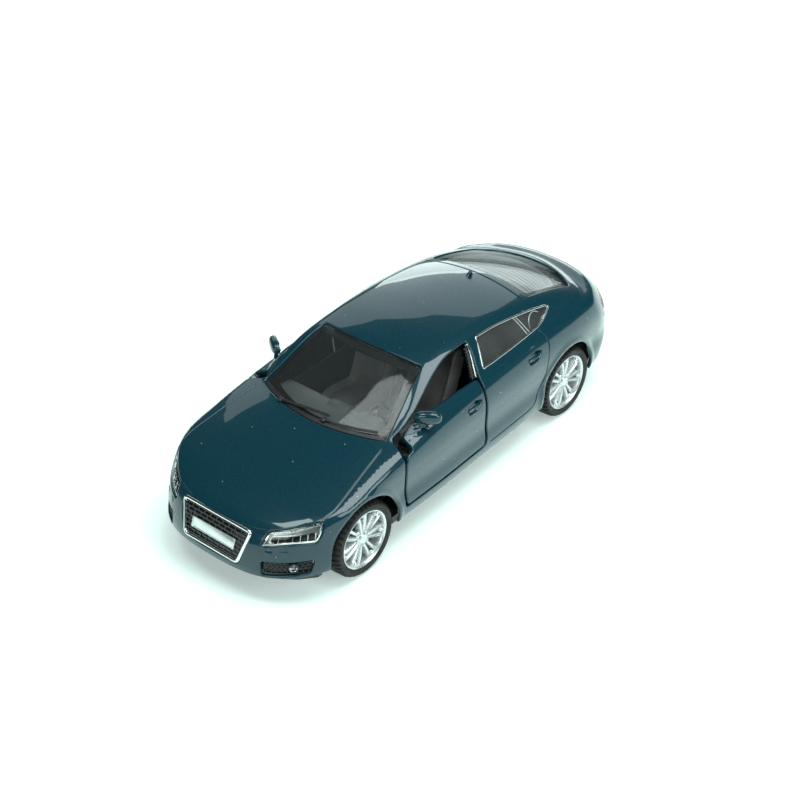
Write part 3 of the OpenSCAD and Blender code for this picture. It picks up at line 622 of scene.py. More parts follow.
def facing(centre):
    """Placement on the skin, with its third axis along the normal."""
    n = normals_at(centre[None])[0]
    across = np.cross([0, 0, 1], n)
    across /= np.linalg.norm(across)
    return frame_at(centre, across, np.cross(n, across), n)


def rect(w, h, r=0.2):
    return soften([(-w / 2, -h / 2), (w / 2, -h / 2), (w / 2, h / 2), (-w / 2, h / 2)], r, n=3)


def slab(low, high, r=0.3):
    """A box with rounded edges between two corners."""
    low, high = np.array(low, float), np.array(high, float)
    size, mid = high - low, (high + low) / 2
    r = min(r, size.min() * 0.45)
    return prism(rect(size[0], size[1], r), low[2], high[2], r, lambda q: q + [mid[0], mid[1], 0])


def side_slab(side, inner, outer, low, high, r=0.3):
    """A slab between two distances from the middle plane; low and high are its (y, z) corners."""
    x0, x1 = sorted((side * inner, side * outer))
    return slab((x0, *low), (x1, *high), r)


def tube(path, radius, sides=10, flatten=1.0):
    """A round bar along a path, closed at its ends; radius may be one value per point."""
    p = np.array(path, float)
    r = np.broadcast_to(np.array(radius, float), len(p))
    t = np.gradient(p, axis=0)
    t /= np.linalg.norm(t, axis=1)[:, None]
    up = np.array([0, 0, 1.0]) if abs(t[0, 2]) < 0.9 else np.array([1.0, 0, 0])
    rows = []
    for i in range(len(p)):
        a = np.cross(t[i], up)
        a /= np.linalg.norm(a)
        b = np.cross(a, t[i])
        up = b
        k = np.linspace(0, 2 * math.pi, sides, endpoint=False)[:, None]
        rows.append(p[i] + r[i] * (np.cos(k) * a + flatten * np.sin(k) * b))
    faces = [tuple(range(sides)), tuple(range((len(p) - 1) * sides, len(p) * sides))[::-1]]
    for i in range(len(p) - 1):
        faces += strip(list(range(i * sides, (i + 1) * sides)),
                       list(range((i + 1) * sides, (i + 2) * sides)), True)
    return np.vstack(rows), faces


def loop_tube(path, radius, sides=8):
    """A round bar round a closed flat path."""
    p = np.array(path, float)
    t = np.roll(p, -1, axis=0) - np.roll(p, 1, axis=0)
    t /= np.linalg.norm(t, axis=1)[:, None]
    flat_normal = np.cross(t[0], t[len(t) // 4])
    flat_normal /= np.linalg.norm(flat_normal)
    a = np.cross(t, flat_normal)
    k = np.linspace(0, 2 * math.pi, sides, endpoint=False)
    pts = np.concatenate([p[i] + radius * (np.outer(np.cos(k), a[i]) + np.outer(np.sin(k), flat_normal))
                          for i in range(len(p))])
    faces = []
    for i in range(len(p)):
        j = (i + 1) % len(p)
        faces += strip(list(range(i * sides, (i + 1) * sides)),
                       list(range(j * sides, (j + 1) * sides)), True)
    return pts, faces


def revolve(profile, at, segments=72, wave=None):
    """A closed (radius, height) profile turned round an axis; wave() shapes the radius."""
    prof = np.array(profile, float)
    n = len(prof)
    pts = []
    for k in range(segments):
        a = 2 * math.pi * k / segments
        r = prof[:, 0] if wave is None else prof[:, 0] - wave(k, prof)
        pts.append(at(np.stack([r * math.cos(a), r * math.sin(a), prof[:, 1]], 1)))
    faces = []
    for k in range(segments):
        j = (k + 1) % segments
        faces += strip(list(range(k * n, (k + 1) * n)), list(range(j * n, (j + 1) * n)), True)
    return np.vstack(pts), faces


def blob(centre, size, turn=None, rings=12, sides=20, power=2.0):
    """A rounded ellipsoid; power over 2 makes it boxier."""
    u = np.linspace(0, math.pi, rings + 1)[1:-1]
    v = np.linspace(0, 2 * math.pi, sides, endpoint=False)

    def curve_of(c):
        return np.sign(c) * np.abs(c) ** (2 / power)
    pts = [[0, 0, 1]]
    for a in u:
        for b in v:
            pts.append([curve_of(math.sin(a) * math.cos(b)), curve_of(math.sin(a) * math.sin(b)),
                        curve_of(math.cos(a))])
    pts.append([0, 0, -1])
    p = np.array(pts, float) * size
    if turn is not None:
        p = p @ np.array(Matrix.Rotation(math.radians(turn[0]), 3, turn[1])).T
    n = len(u)
    faces = [(0, 1 + j, 1 + (j + 1) % sides) for j in range(sides)]
    for i in range(n - 1):
        faces += strip(list(range(1 + i * sides, 1 + (i + 1) * sides)),
                       list(range(1 + (i + 1) * sides, 1 + (i + 2) * sides)), True)
    last = 1 + (n - 1) * sides
    faces += [(len(p) - 1, last + (j + 1) % sides, last + j) for j in range(sides)]
    return p + np.array(centre, float), faces


# ---- Materials ----
class Finish:
    """A Principled material with small helpers for its procedural detail."""

    def __init__(self, name, color, rough, metal=0.0, coat=0.0, spec=0.5, sheen=0.0):
        self.mat = bpy.data.materials.new(name)
        self.mat.use_nodes = True
        self.nodes = self.mat.node_tree.nodes
        self.links = self.mat.node_tree.links
        self.shader = self.nodes["Principled BSDF"]
        self.color = (*color, 1)
        s = self.shader.inputs
        s["Base Color"].default_value = self.color
        s["Roughness"].default_value = rough
        s["Metallic"].default_value = metal
        s["Coat Weight"].default_value = coat
        s["Coat Roughness"].default_value = 0.03
        s["Specular IOR Level"].default_value = spec
        s["Sheen Weight"].default_value = sheen
        self.place = self.nodes.new("ShaderNodeTexCoord")

    def noise(self, scale, detail=3.0, rough=0.5):
        n = self.nodes.new("ShaderNodeTexNoise")
        n.inputs["Scale"].default_value = scale
        n.inputs["Detail"].default_value = detail
        n.inputs["Roughness"].default_value = rough
        self.links.new(self.place.outputs["Object"], n.inputs["Vector"])
        return n.outputs["Fac"]

    def voronoi(self, scale):
        n = self.nodes.new("ShaderNodeTexVoronoi")
        n.inputs["Scale"].default_value = scale
        self.links.new(self.place.outputs["Object"], n.inputs["Vector"])
        return n.outputs["Distance"]

    def wave(self, scale, direction):
        n = self.nodes.new("ShaderNodeTexWave")
        n.bands_direction = direction
        n.inputs["Scale"].default_value = scale
        self.links.new(self.place.outputs["Object"], n.inputs["Vector"])
        return n.outputs["Fac"]

    def spread(self, value, low, high, out_low=0.0, out_high=1.0):
        n = self.nodes.new("ShaderNodeMapRange")
        for key, v in zip(("From Min", "From Max", "To Min", "To Max"), (low, high, out_low, out_high)):
            n.inputs[key].default_value = v
        self.links.new(value, n.inputs["Value"])
        return n.outputs["Result"]

    def math(self, kind, a, b):
        n = self.nodes.new("ShaderNodeMath")
        n.operation = kind
        for k, v in enumerate((a, b)):
            if isinstance(v, (int, float)):
                n.inputs[k].default_value = v
            else:
                self.links.new(v, n.inputs[k])
        return n.outputs[0]

    def tint(self, amount, other):
        """Mixes the colour towards another one by a 0 to 1 value."""
        source = self.shader.inputs["Base Color"]
        n = self.nodes.new("ShaderNodeMix")
        n.data_type = "RGBA"
        n.inputs["A"].default_value = self.color
        n.inputs["B"].default_value = (*other, 1)
        if source.is_linked:
            self.links.new(source.links[0].from_socket, n.inputs["A"])
        self.links.new(amount, n.inputs["Factor"])
        self.links.new(n.outputs["Result"], source)
        return self

    def gloss(self, value, low, high):
        self.links.new(self.spread(value, 0.3, 0.7, low, high), self.shader.inputs["Roughness"])
        return self

    def bump(self, value, height, coat=False):
        n = self.nodes.new("ShaderNodeBump")
        n.inputs["Strength"].default_value = 1.0
        n.inputs["Distance"].default_value = height
        self.links.new(value, n.inputs["Height"])
        if self.shader.inputs["Normal"].is_linked:
            self.links.new(self.shader.inputs["Normal"].links[0].from_socket, n.inputs["Normal"])
        self.links.new(n.outputs["Normal"], self.shader.inputs["Normal"])
        if coat:
            self.links.new(n.outputs["Normal"], self.shader.inputs["Coat Normal"])
        return self

    def clear(self, share):
        """Lets light straight through, with the shader's gloss over it."""
        out = self.nodes["Material Output"]
        through = self.nodes.new("ShaderNodeBsdfTransparent")
        mix = self.nodes.new("ShaderNodeMixShader")
        layer = self.nodes.new("ShaderNodeLayerWeight")
        layer.inputs["Blend"].default_value = 0.5
        glancing = self.math("POWER", layer.outputs["Facing"], 4)
        amount = self.spread(glancing, 0, 1, share, 1.0)
        self.links.new(amount, mix.inputs[0])
        self.links.new(through.outputs[0], mix.inputs[1])
        self.links.new(self.shader.outputs[0], mix.inputs[2])
        self.links.new(mix.outputs[0], out.inputs["Surface"])
        return self


def car_paint():
    f = Finish("petrol_paint", (0.0016, 0.03, 0.046), 0.3, coat=1.0, spec=0.12)
    f.shader.inputs["Coat Roughness"].default_value = 0.02
    flake = f.noise(5200, 2, 0.6)
    f.tint(f.spread(flake, 0.5, 0.78, 0, 0.35), (0.01, 0.09, 0.13))
    cell = f.voronoi(420)
    rare = f.spread(f.noise(150, 0), 0.56, 0.6)
    dust = f.math("MULTIPLY", f.spread(cell, 0.03, 0.055, 1, 0), rare)
    f.tint(dust, (0.55, 0.62, 0.62))
    f.gloss(flake, 0.24, 0.38)
    return f.bump(f.noise(260, 2, 0.4), 0.0000035, coat=True).mat


def plastic(name, color, low=0.38, high=0.55, grain=0.000012, scale=2600):
    f = Finish(name, color, 0.45)
    f.tint(f.spread(f.noise(160, 4), 0.35, 0.75, 0, 0.35), tuple(min(1, c * 1.5 + 0.004) for c in color))
    f.gloss(f.noise(420, 3), low, high)
    return f.bump(f.noise(scale, 3, 0.6), grain).mat


def plated(name, color, low=0.08, high=0.2, wobble=0.000004):
    f = Finish(name, color, 0.15, metal=1.0)
    f.tint(f.spread(f.noise(220, 4), 0.4, 0.8, 0, 0.3), tuple(c * 0.75 for c in color))
    f.gloss(f.noise(500, 3), low, high)
    return f.bump(f.noise(900, 2), wobble).mat


def rim_silver():
    f = Finish("rim_silver", (0.72, 0.74, 0.75), 0.28, metal=0.6, coat=0.5)
    f.tint(f.spread(f.noise(3800, 2), 0.5, 0.75, 0, 0.4), (0.9, 0.92, 0.93))
    f.tint(f.spread(f.noise(170, 4), 0.45, 0.8, 0, 0.2), (0.5, 0.52, 0.53))
    f.gloss(f.noise(900, 2), 0.2, 0.36)
    return f.bump(f.noise(1500, 2), 0.000006).mat


def rubber():
    f = Finish("tyre_rubber", (0.0054, 0.0054, 0.0054), 0.6, spec=0.35)
    f.tint(f.spread(f.noise(260, 5, 0.6), 0.4, 0.8, 0, 0.5), (0.05, 0.05, 0.048))
    f.gloss(f.noise(380, 3), 0.5, 0.75)
    return f.bump(f.noise(3000, 4, 0.7), 0.00003).mat


def seat_leather():
    f = Finish("seat_leather", (0.21, 0.206, 0.2), 0.42, sheen=0.1)
    f.tint(f.spread(f.noise(240, 4), 0.35, 0.75, 0, 0.5), (0.09, 0.088, 0.085))
    f.gloss(f.noise(700, 3), 0.34, 0.5)
    return f.bump(f.voronoi(1500), 0.00003).mat


def clear_plastic(name, share=0.03, color=(0.02, 0.022, 0.024)):
    f = Finish(name, color, 0.02, spec=0.7)
    f.gloss(f.noise(60, 3), 0.01, 0.05)
    f.bump(f.noise(60, 2), 0.0000008)
    return f.clear(share).mat


def smoked_glass():
    f = Finish("smoked_glass", (0.035, 0.036, 0.037), 0.06, spec=0.7)
    f.tint(f.spread(f.noise(60, 3, 0.5), 0.35, 0.7, 0, 0.6), (0.13, 0.13, 0.13))
    f.gloss(f.noise(80, 3), 0.04, 0.12)
    f.bump(f.noise(60, 2), 0.000003)
    return f.clear(0.8).mat


def frosted_glass():
    f = Finish("pale_window", (0.3, 0.33, 0.34), 0.16, spec=0.6)
    f.tint(f.spread(f.noise(90, 4), 0.35, 0.75, 0, 0.6), (0.42, 0.45, 0.46))
    f.gloss(f.noise(300, 3), 0.1, 0.22)
    f.bump(f.noise(90, 2), 0.000002)
    return f.clear(0.82).mat


def red_lens():
    f = Finish("red_lens", (0.2, 0.004, 0.005), 0.12, coat=1.0)
    f.shader.inputs["Transmission Weight"].default_value = 0.25
    f.tint(f.spread(f.wave(900, "Z"), 0.4, 0.8, 0, 0.5), (0.3, 0.01, 0.01))
    f.gloss(f.noise(400, 2), 0.08, 0.2)
    return f.bump(f.wave(900, "Z"), 0.00002).mat


PAINT = car_paint()
BLACK = plastic("black_plastic", (0.012, 0.012, 0.013))
GLOSS_BLACK = plastic("gloss_black", (0.006, 0.006, 0.007), 0.1, 0.2, 0.000004, 600)
CABIN = plastic("cabin_plastic", (0.06, 0.062, 0.064), 0.4, 0.6, 0.00002, 2200)
DASH_GREY = plastic("dash_plastic", (0.13, 0.14, 0.145), 0.4, 0.55, 0.000015, 2400)
CHROME = plated("chrome_plating", (0.8, 0.83, 0.83))
SATIN = plated("satin_silver", (0.72, 0.75, 0.75), 0.25, 0.38, 0.000006)
RIM = rim_silver()
RUBBER = rubber()
STEEL = plated("steel", (0.5, 0.51, 0.52), 0.25, 0.42, 0.00001)
BRASS = plated("brass", (0.72, 0.52, 0.22), 0.2, 0.4, 0.00001)
NYLON = plastic("white_nylon", (0.75, 0.75, 0.71), 0.35, 0.55, 0.00002, 1800)
LEATHER = seat_leather()
CLEAR = clear_plastic("clear_plastic")
LENS = clear_plastic("lens_plastic", 0.05)
SCREEN = clear_plastic("screen_plastic", 0.22, (0.05, 0.055, 0.056))
SMOKED = smoked_glass()
PALE = frosted_glass()
FRIT = plastic("window_border", (0.008, 0.008, 0.009), 0.12, 0.25, 0.000004, 700)
DARK_GREY = plastic("window_grey", (0.05, 0.055, 0.058), 0.15, 0.3, 0.000004, 700)
RED = red_lens()
LED = plated("lamp_facets", (0.9, 0.93, 0.95), 0.03, 0.1, 0.00002)


# ---- Body panels, doors and mirrors ----
HANDLE_FRONT = from_side([(-3.2, 23.0)])[0]
HANDLE_REAR = from_side([(20.2, 23.7)])[0]
HANDLE_HALF = (2.9, 1.25)
HANDLE_DEPTH = 0.75
HANDLE_LEAN = math.radians(6)


def handle_dent(centre):
    """Oval hollow behind a door handle, leaning up towards the rear."""
    def depth(p):
        y, z = p[:, 1] - centre[1], p[:, 2] - centre[2]
        c, s = math.cos(HANDLE_LEAN), math.sin(HANDLE_LEAN)
        along, over = y * c + z * s, z * c - y * s
        r2 = (along / HANDLE_HALF[0]) ** 2 + (over / HANDLE_HALF[1]) ** 2
        near = p[:, 0] > 10
        return np.where(near, HANDLE_DEPTH * np.maximum(1 - r2, 0) ** 0.7, 0)
    return depth


def line_on(project, points, r=1.0, step=0.5):
    """An engraved line from its corners in one view."""
    return project(resample(soften(points, r, closed=False), step, closed=False))


def closed_on(project, points, r=0.7, step=0.45):
    return project(resample(soften(points, r), step))


def body_panels():
    half = [
        sill_line(),
        from_rear(resample(soften(PLATE_HALF, 0.5, False), 0.45, False)),
        from_top(resample(half_outline(back_window_line(), 0.8), 0.45, False)[::-1]),
        from_top(resample(half_outline(windscreen_line(), 0.8), 0.45, False)),
        from_front(resample(soften(GRILLE_HALF, 0.9, False), 0.45, False)),
    ]
    holes = [closed_on(from_side, DOORWAY, 0.7), closed_on(from_side, REAR_WINDOW, 0.8),
             closed_on(front_corner, HEADLAMP), closed_on(front_corner, FOG),
             closed_on(rear_corner, TAIL_LAMP, 0.8)]
    grooves = [
        line_on(from_side, [(24.9, 27.75), (26, 26), (26.3, 24.6), (25.7, 22.5), (25.2, 19.2),
                            (24.8, 16.5), (23.1, 14.5), (21.5, 12.9), (20.3, 11), (18.6, 10.3),
                            (3, 10.3)]),
        line_on(from_top, [(20.9, -51.3), (21.6, -47), (20.9, -42), (20, -36), (18.9, -29)]),
        line_on(from_top, [(0.06, 27.1), (8, 26.7), (14.2, 26)]),
        line_on(from_rear, [(12.6, 17.9), (12.2, 13.4), (11.2, 11.7), (0.06, 11.4)]),
        line_on(from_top, [(0.06, -60.25), (6, -60.1), (10.6, -59.2), (12.5, -58.5)]),
    ]
    mesh = panel(half, holes, spacing=0.75, depth=0.8, grooves=grooves, dent=handle_dent(HANDLE_REAR),
                 fine=[(HANDLE_REAR, 3.2, 0.3)])
    add("body_panels", doubled(*mesh), PAINT, stands=["body_shell"])


def antenna():
    line = [(-1.5, 0), (-0.9, 0.35), (-0.2, 0.85), (0.3, 1.3), (0.75, 1.42), (0.95, 1.1), (1.1, 0)]
    outline = soften(line, 0.4, n=4)
    at = frame_at((0, 24.3, 34.95), (0, 1, 0), (0, 0, 1), (1, 0, 0))
    add("antenna_fin", prism(outline, -0.36, 0.36, 0.16, at), PAINT)


def door(side, name):
    outline = closed_on(from_side, DOOR, 0.8)
    mesh = panel(outline, spacing=0.8, roll=0.35, depth=1.1, dent=handle_dent(HANDLE_FRONT),
                 fine=[(HANDLE_FRONT, 3.2, 0.3)])
    add(f"{name}_door_skin", mirrored(mesh, side), PAINT, f"{name}_door",
        [f"door_{name}"])


def door_barrel(side, name):
    low, high = node_mm(f"hinge_pin_{name}")
    x, y = (low[0] + high[0]) / 2, (low[1] + high[1]) / 2
    at = frame_at((x, y, 12), (1, 0, 0), (0, 1, 0), (0, 0, 1))
    ring = revolve([(0.56, 0), (1.05, 0), (1.15, 0.1), (1.15, 7.4), (1.05, 7.5), (0.56, 7.5)], at, 32)
    arm = side_slab(side, side * x + 0.9, side * x + 1.8, (y - 0.85, 12.2), (y + 0.85, 19.3))
    add(f"{name}_door_barrel", joined([ring, arm]), PAINT, f"{name}_door")


def handle(centre, side, name, body):
    """A bowed bar across its hollow, with a foot at each end."""
    t = np.linspace(-1, 1, 15)
    n = normals_at(centre[None])[0]
    along = np.array([0, math.cos(HANDLE_LEAN), math.sin(HANDLE_LEAN)])
    path = centre + np.outer(t * 2.35, along) + np.outer(0.22 - 0.42 * np.abs(t) ** 3 - 0.08, n)
    path[:, 0] -= 0.15
    bar = tube(path, 0.5 - 0.18 * np.abs(t) ** 4, 12, 0.62)
    cap = blob(centre + 2.75 * along - 0.12 * n, (0.22, 0.34, 0.3))
    add(name, mirrored(joined([bar, cap]), side), PAINT, body, sharp=60)


def mirror_housing(side, name):
    """Shell with a flat rear face that holds the glass, on a stalk from the door."""
    centre = np.array([22.6, -18.3, 28.3])
    behind_axis = np.array([-0.571, 0.821, 0])
    head = blob(centre, (3.0, 1.3, 1.5), (34.8, "Z"), 18, 28, 2.6)
    behind = (head[0] - centre) @ behind_axis
    pts = head[0] - np.outer(np.maximum(behind - 0.6, 0) * 0.85, behind_axis)
    stalk = tube([(20.5, -20.2, 26.6), (21.0, -19.8, 26.9), (21.5, -19.3, 27.3), (21.9, -18.9, 27.8)],
                 [0.7, 0.5, 0.45, 0.5], 14, 0.7)
    add(f"mirror_shell_{name}", mirrored(joined([(pts, head[1]), stalk]), side), PAINT,
        f"{name}_door", [f"mirror_{name}"], sharp=60)
    t = np.linspace(0, 2 * math.pi, 28, endpoint=False)
    oval = np.stack([2.4 * np.cos(t), 1.08 * np.sin(t) - 0.12 * np.cos(t)], 1)
    at = frame_at(centre + 0.66 * behind_axis, (-0.821, -0.571, 0), (0, 0, 1), behind_axis)
    add(f"mirror_glass_{name}", mirrored(prism(oval, 0, 0.16, 0.05, at), side), CHROME,
        f"{name}_door")


# ---- Windows ----
def band(outline, width, level, roll, depth, spacing=0.7):
    return panel(outline, [inset(outline, width, level)], spacing, roll, depth, level)


def windscreen():
    edge = inset(from_top(resample(whole_outline(windscreen_line(), 0.8), 0.5)), 0.12)
    add("windscreen", panel(edge, spacing=1.2, roll=0.1, depth=0.7, level=-0.35), SCREEN,
        stands=["window_moulding"])
    clear_area = from_top(resample(whole_outline(windscreen_line(1.9, 2.4, 1.7), 1.2), 0.5))
    add("windscreen_border", panel(edge, [clear_area], 1.0, 0.03, 0.12, -1.1), FRIT)


def back_window():
    edge = inset(from_top(resample(whole_outline(back_window_line(), 0.8), 0.5)), 0.12)
    add("back_window", panel(edge, spacing=1.2, roll=0.1, depth=0.6, level=-0.3), CLEAR)
    inner = from_top(resample(whole_outline(back_window_line(1.7, 2.3, 3.4), 1.0), 0.5))
    add("back_window_pane", panel(inner, spacing=1.4, roll=0.05, depth=0.3, level=-1.02), PALE)
    add("back_window_border", panel(edge, [inner], 1.0, 0.03, 0.2, -0.98), DARK_GREY)
    for k in range(9):
        share = (k + 1) / 10
        t = np.linspace(-1, 1, 40)
        y = (31.6 - 0.7 * t * t) * (1 - share) + (46.1 - 4 * np.abs(t) ** 2.8) * share
        line = settle(from_top(np.stack([12.1 * t, y], 1)), -0.97)
        add(f"heater_line_{k + 1}", tube(line, 0.045, 6), DARK_GREY)


def side_window(side, name):
    edge = closed_on(from_side, REAR_WINDOW, 0.8)
    pane = inset(edge, 0.3)
    glass = panel(pane, spacing=1.1, roll=0.08, depth=0.6, level=-0.42)
    add(f"side_window_{name}", mirrored(glass, side), SMOKED)
    add(f"window_trim_{name}", mirrored(band(edge, 0.46, 0.1, 0.16, 0.75), side), CHROME)
    lines = [[(19.1, 33.0), (21.0, 28.7)], [(20.0, 32.8), (21.9, 28.8)]]
    bars = [tube(settle(line_on(from_side, q, 1), -0.3), 0.13, 8) for q in lines]
    arc = [(22.6, 29.2), (23.1, 30.6), (24.6, 31.5), (26.4, 31.6), (27.6, 30.9)]
    bars.append(tube(settle(line_on(from_side, arc, 2), -0.38), 0.1, 8))
    add(f"quarter_bar_{name}", mirrored(joined(bars), side), SATIN)


def pillar_trim(side, name):
    strip_line = [(0.5, 27.9), (0.98, 27.9), (3.1, 33.9), (2.7, 34.0)]
    hatch_line = [(-0.65, 28.0), (0.4, 28.0), (2.55, 33.6), (1.85, 33.6)]
    edge = closed_on(from_side, strip_line, 0.15, 0.3)
    add(f"pillar_strip_{name}", mirrored(panel(edge, (), 0.5, 0.12, 0.8, -0.1), side), CHROME)
    insert = closed_on(from_side, hatch_line, 0.15, 0.3)
    add(f"pillar_insert_{name}", mirrored(panel(insert, (), 0.5, 0.05, 0.6, -0.5), side), GLOSS_BLACK)
    bars = []
    for k in range(9):
        z = 28.3 + 0.6 * k
        y = -0.55 + (z - 28) * 0.4
        for lean in (-0.45, 0.45):
            bars.append(tube(settle(from_side([(y, z - lean), (y + 0.8, z + lean)]), -0.47), 0.05, 6))
    add(f"pillar_hatching_{name}", mirrored(joined(bars), side), CABIN)


def cowl_and_wipers():
    t = np.linspace(-1, 1, 41)
    fore = np.stack([17.6 * t, -31.9 + 4.7 * t * t], 1)
    aft = np.stack([17.4 * t[::-1], -31.0 + 4.6 * t[::-1] ** 2], 1)
    edge = from_top(resample(np.vstack([fore, aft]), 0.5))
    add("cowl_panel", panel(edge, (), 0.8, 0.1, 0.5, -0.12), BLACK)
    for k, (pivot, tip) in enumerate((((-9.5, -30.4), (4.2, -29.6)), ((3.5, -30.6), (15.6, -26.8)))):
        a, b = np.array(pivot), np.array(tip)
        mid = (a + b) / 2 + [0, -0.35 if k == 0 else -0.9]
        q = resample(soften([a, mid, b], 6, False), 0.6, False)
        arm = settle(from_top(q), 0.28)
        blade = settle(from_top(q[len(q) // 3:] + [0, 0.35]), 0.05)
        boss = blob(settle(from_top([pivot]), 0.15)[0], (0.75, 0.75, 0.4))
        add(f"wiper_{k + 1}", joined([tube(arm, np.linspace(0.3, 0.16, len(arm)), 8),
                                      tube(blade, 0.16, 8), boss]), BLACK)


# ---- Lamps ----
def corner_patch(outline, level, depth, roll=0.08, r=0.3, spacing=0.6, project=front_corner, step=0.3):
    return panel(closed_on(project, outline, r, step), (), spacing, roll, depth, level)


def headlamp(side, name):
    edge = inset(closed_on(front_corner, HEADLAMP, 0.7, 0.35), 0.1)
    add(f"headlamp_cover_{name}", mirrored(panel(edge, (), 0.8, 0.12, 0.4, -0.02), side), LENS,
        stands=[f"headlamp_lens_{name}"])
    add(f"headlamp_bowl_{name}", mirrored(panel(edge, (), 0.8, 0.1, 0.5, -1.75), side), SATIN,
        stands=[f"headlamp_reflector_{name}"])
    add(f"headlamp_bezel_{name}", mirrored(band(edge, 0.42, -0.45, 0.1, 1.4, 0.5), side), CHROME)
    low = [(-27.6, 15.5), (-17.4, 15.85)]
    high = [(-17.6, 17.35), (-27.2, 16.75)]
    add(f"headlamp_strip_{name}", mirrored(corner_patch(low + high, -1.2, 0.4, 0.12, 0.4), side),
        GLOSS_BLACK)
    beads = [tube(settle(front_corner([(-25.9 + 1.62 * k, 15.55 + 0.05 * k),
                                       (-25.75 + 1.62 * k, 16.8 + 0.1 * k)]), -1.1), 0.1, 6)
             for k in range(6)]
    foot = [(-28.6 + 0.62 * k, 14.85 + 0.035 * k) for k in range(18)]
    beads += [blob(settle(front_corner([q]), -0.95)[0], (0.3, 0.3, 0.26), None, 6, 10) for q in foot]
    ribs = []
    for k in range(22):
        s = -26.6 + 0.46 * k
        q = front_corner([(s, 17.4 + 0.066 * k), (s, 17.95 + 0.062 * k)])
        ribs.append(tube(settle(q, -1.0), 0.13, 6))
    add(f"headlamp_facets_{name}", mirrored(joined(beads + ribs), side), LED,
        sharp=60)


def fog_lamp(side, name):
    edge = inset(closed_on(front_corner, FOG, 0.7, 0.35), 0.08)
    add(f"fog_recess_{name}", mirrored(panel(edge, (), 0.9, 0.1, 0.4, -1.3), side), GLOSS_BLACK,
        stands=[f"fog_grille_{name}"])
    bars = []
    for k in range(4):
        z = 8.6 + 0.72 * k
        q = [(s, z + 0.012 * (s + 24)) for s in np.linspace(-29.1, -18.6, 30)]
        bars.append(tube(settle(front_corner(q), -0.75), 0.11, 6))
        for j in range(9):
            s = -28.6 + 1.15 * j + 0.55 * (k % 2)
            if s < -18.9 and k < 3:
                bars.append(tube(settle(front_corner([(s, z), (s, z + 0.72)]), -0.75), 0.1, 6))
    add(f"fog_mesh_{name}", mirrored(joined(bars), side), BLACK)
    at = facing(settle(front_corner([(-22.6, 9.9)]), -0.75)[0])
    ring = revolve([(0.85, -0.3), (1.1, -0.3), (1.15, 0.2), (1.05, 0.32), (0.92, 0.26),
                    (0.85, 0.1)], at, 40)
    bowl = revolve([(0.01, -0.25), (0.45, -0.2), (0.85, 0.1), (0.85, -0.3), (0.01, -0.35)], at, 40)
    add(f"fog_ring_{name}", mirrored(ring, side), BLACK)
    add(f"fog_lamp_{name}", mirrored(bowl, side), SATIN)
    glass = revolve([(0.01, 0.24), (0.55, 0.18), (0.84, 0.05), (0.84, -0.02), (0.01, 0.1)], at, 40)
    add(f"fog_glass_{name}", mirrored(glass, side), LENS)


def tail_lamp(side, name):
    edge = inset(closed_on(rear_corner, TAIL_LAMP, 0.8, 0.35), 0.1)
    add(f"tail_lens_{name}", mirrored(panel(edge, (), 0.8, 0.18, 0.9, -0.02), side), RED,
        stands=[f"tail_lamp_{name}"])
    bars = []
    for k in range(3):
        q = [(s, 20.3 + 0.75 * k - 0.03 * (s + 24)) for s in np.linspace(-29.8, -19 + 0.3 * k, 24)]
        bars.append(tube(settle(rear_corner(q), -0.02), 0.09, 6))
    add(f"tail_ribs_{name}", mirrored(joined(bars), side), RED)


# ---- Grille ----
GRILLE_LEAN = math.radians(22)
GRILLE_LOW = (0, -62.9, 9.2)
GRILLE_H = 8.2
GRILLE_ROWS = 9
PLATE_V = 3.65
PLATE_H = 2.5


def grille_at(q):
    up = np.array([0, math.sin(GRILLE_LEAN), math.cos(GRILLE_LEAN)])
    out = np.array([0, -math.cos(GRILLE_LEAN), math.sin(GRILLE_LEAN)])
    return np.array(GRILLE_LOW) + q[:, :1] * [1, 0, 0] + q[:, 1:2] * up + q[:, 2:3] * out


def grille_outline(margin, r=0.9):
    return soften([(-8 - margin, -margin), (8 + margin, -margin), (10 + margin, GRILLE_H + margin),
                   (-10 - margin, GRILLE_H + margin)], r, n=6)


def grille():
    path = resample(grille_outline(-0.25), 0.35)
    centre = grille_at(np.column_stack([path, np.full(len(path), 0.28)]))
    add("grille_surround", loop_tube(centre, 0.42, 12), CHROME,
        stands=["grille_frame"])
    seat = prism(resample(grille_outline(0.05), 0.6), -0.9, 0.05, 0.1, grille_at)
    add("grille_back", seat, GLOSS_BLACK, stands=["grille_mesh"])
    bars = []
    for k in range(1, GRILLE_ROWS):
        v = k * GRILLE_H / GRILLE_ROWS
        half = 7.75 + 2 * v / GRILLE_H
        bars.append(prism(rect(2 * half, 0.2, 0.08), 0.0, 0.36, 0.06,
                          lambda q, v=v: grille_at(q + [0, v, 0])))
    for k in range(GRILLE_ROWS):
        v = (k + 0.5) * GRILLE_H / GRILLE_ROWS
        half = 7.6 + 2 * v / GRILLE_H
        for u in np.arange(-9.9 + 0.9 * (k % 2), 9.9, 1.8):
            if abs(u) < half:
                bars.append(prism(rect(0.18, GRILLE_H / GRILLE_ROWS, 0.06), 0.0, 0.3, 0.05,
                                  lambda q, u=u, v=v: grille_at(q + [u, v, 0])))
    add("grille_bars", joined(bars), CABIN)
    low, high = node_mm("number_plate")
    width = high[0] - low[0]
    blank = prism(rect(width, PLATE_H, 0.25), 0.3, 0.62, 0.1, lambda q: grille_at(q + [0, PLATE_V, 0]))
    line = resample(rect(width - 0.3, PLATE_H - 0.3, 0.3), 0.4) + [0, PLATE_V]
    rim = loop_tube(grille_at(np.column_stack([line, np.full(len(line), 0.63)])), 0.09, 6)
    add("blank_plate", joined([blank, rim]), SATIN, stands=["number_plate"])


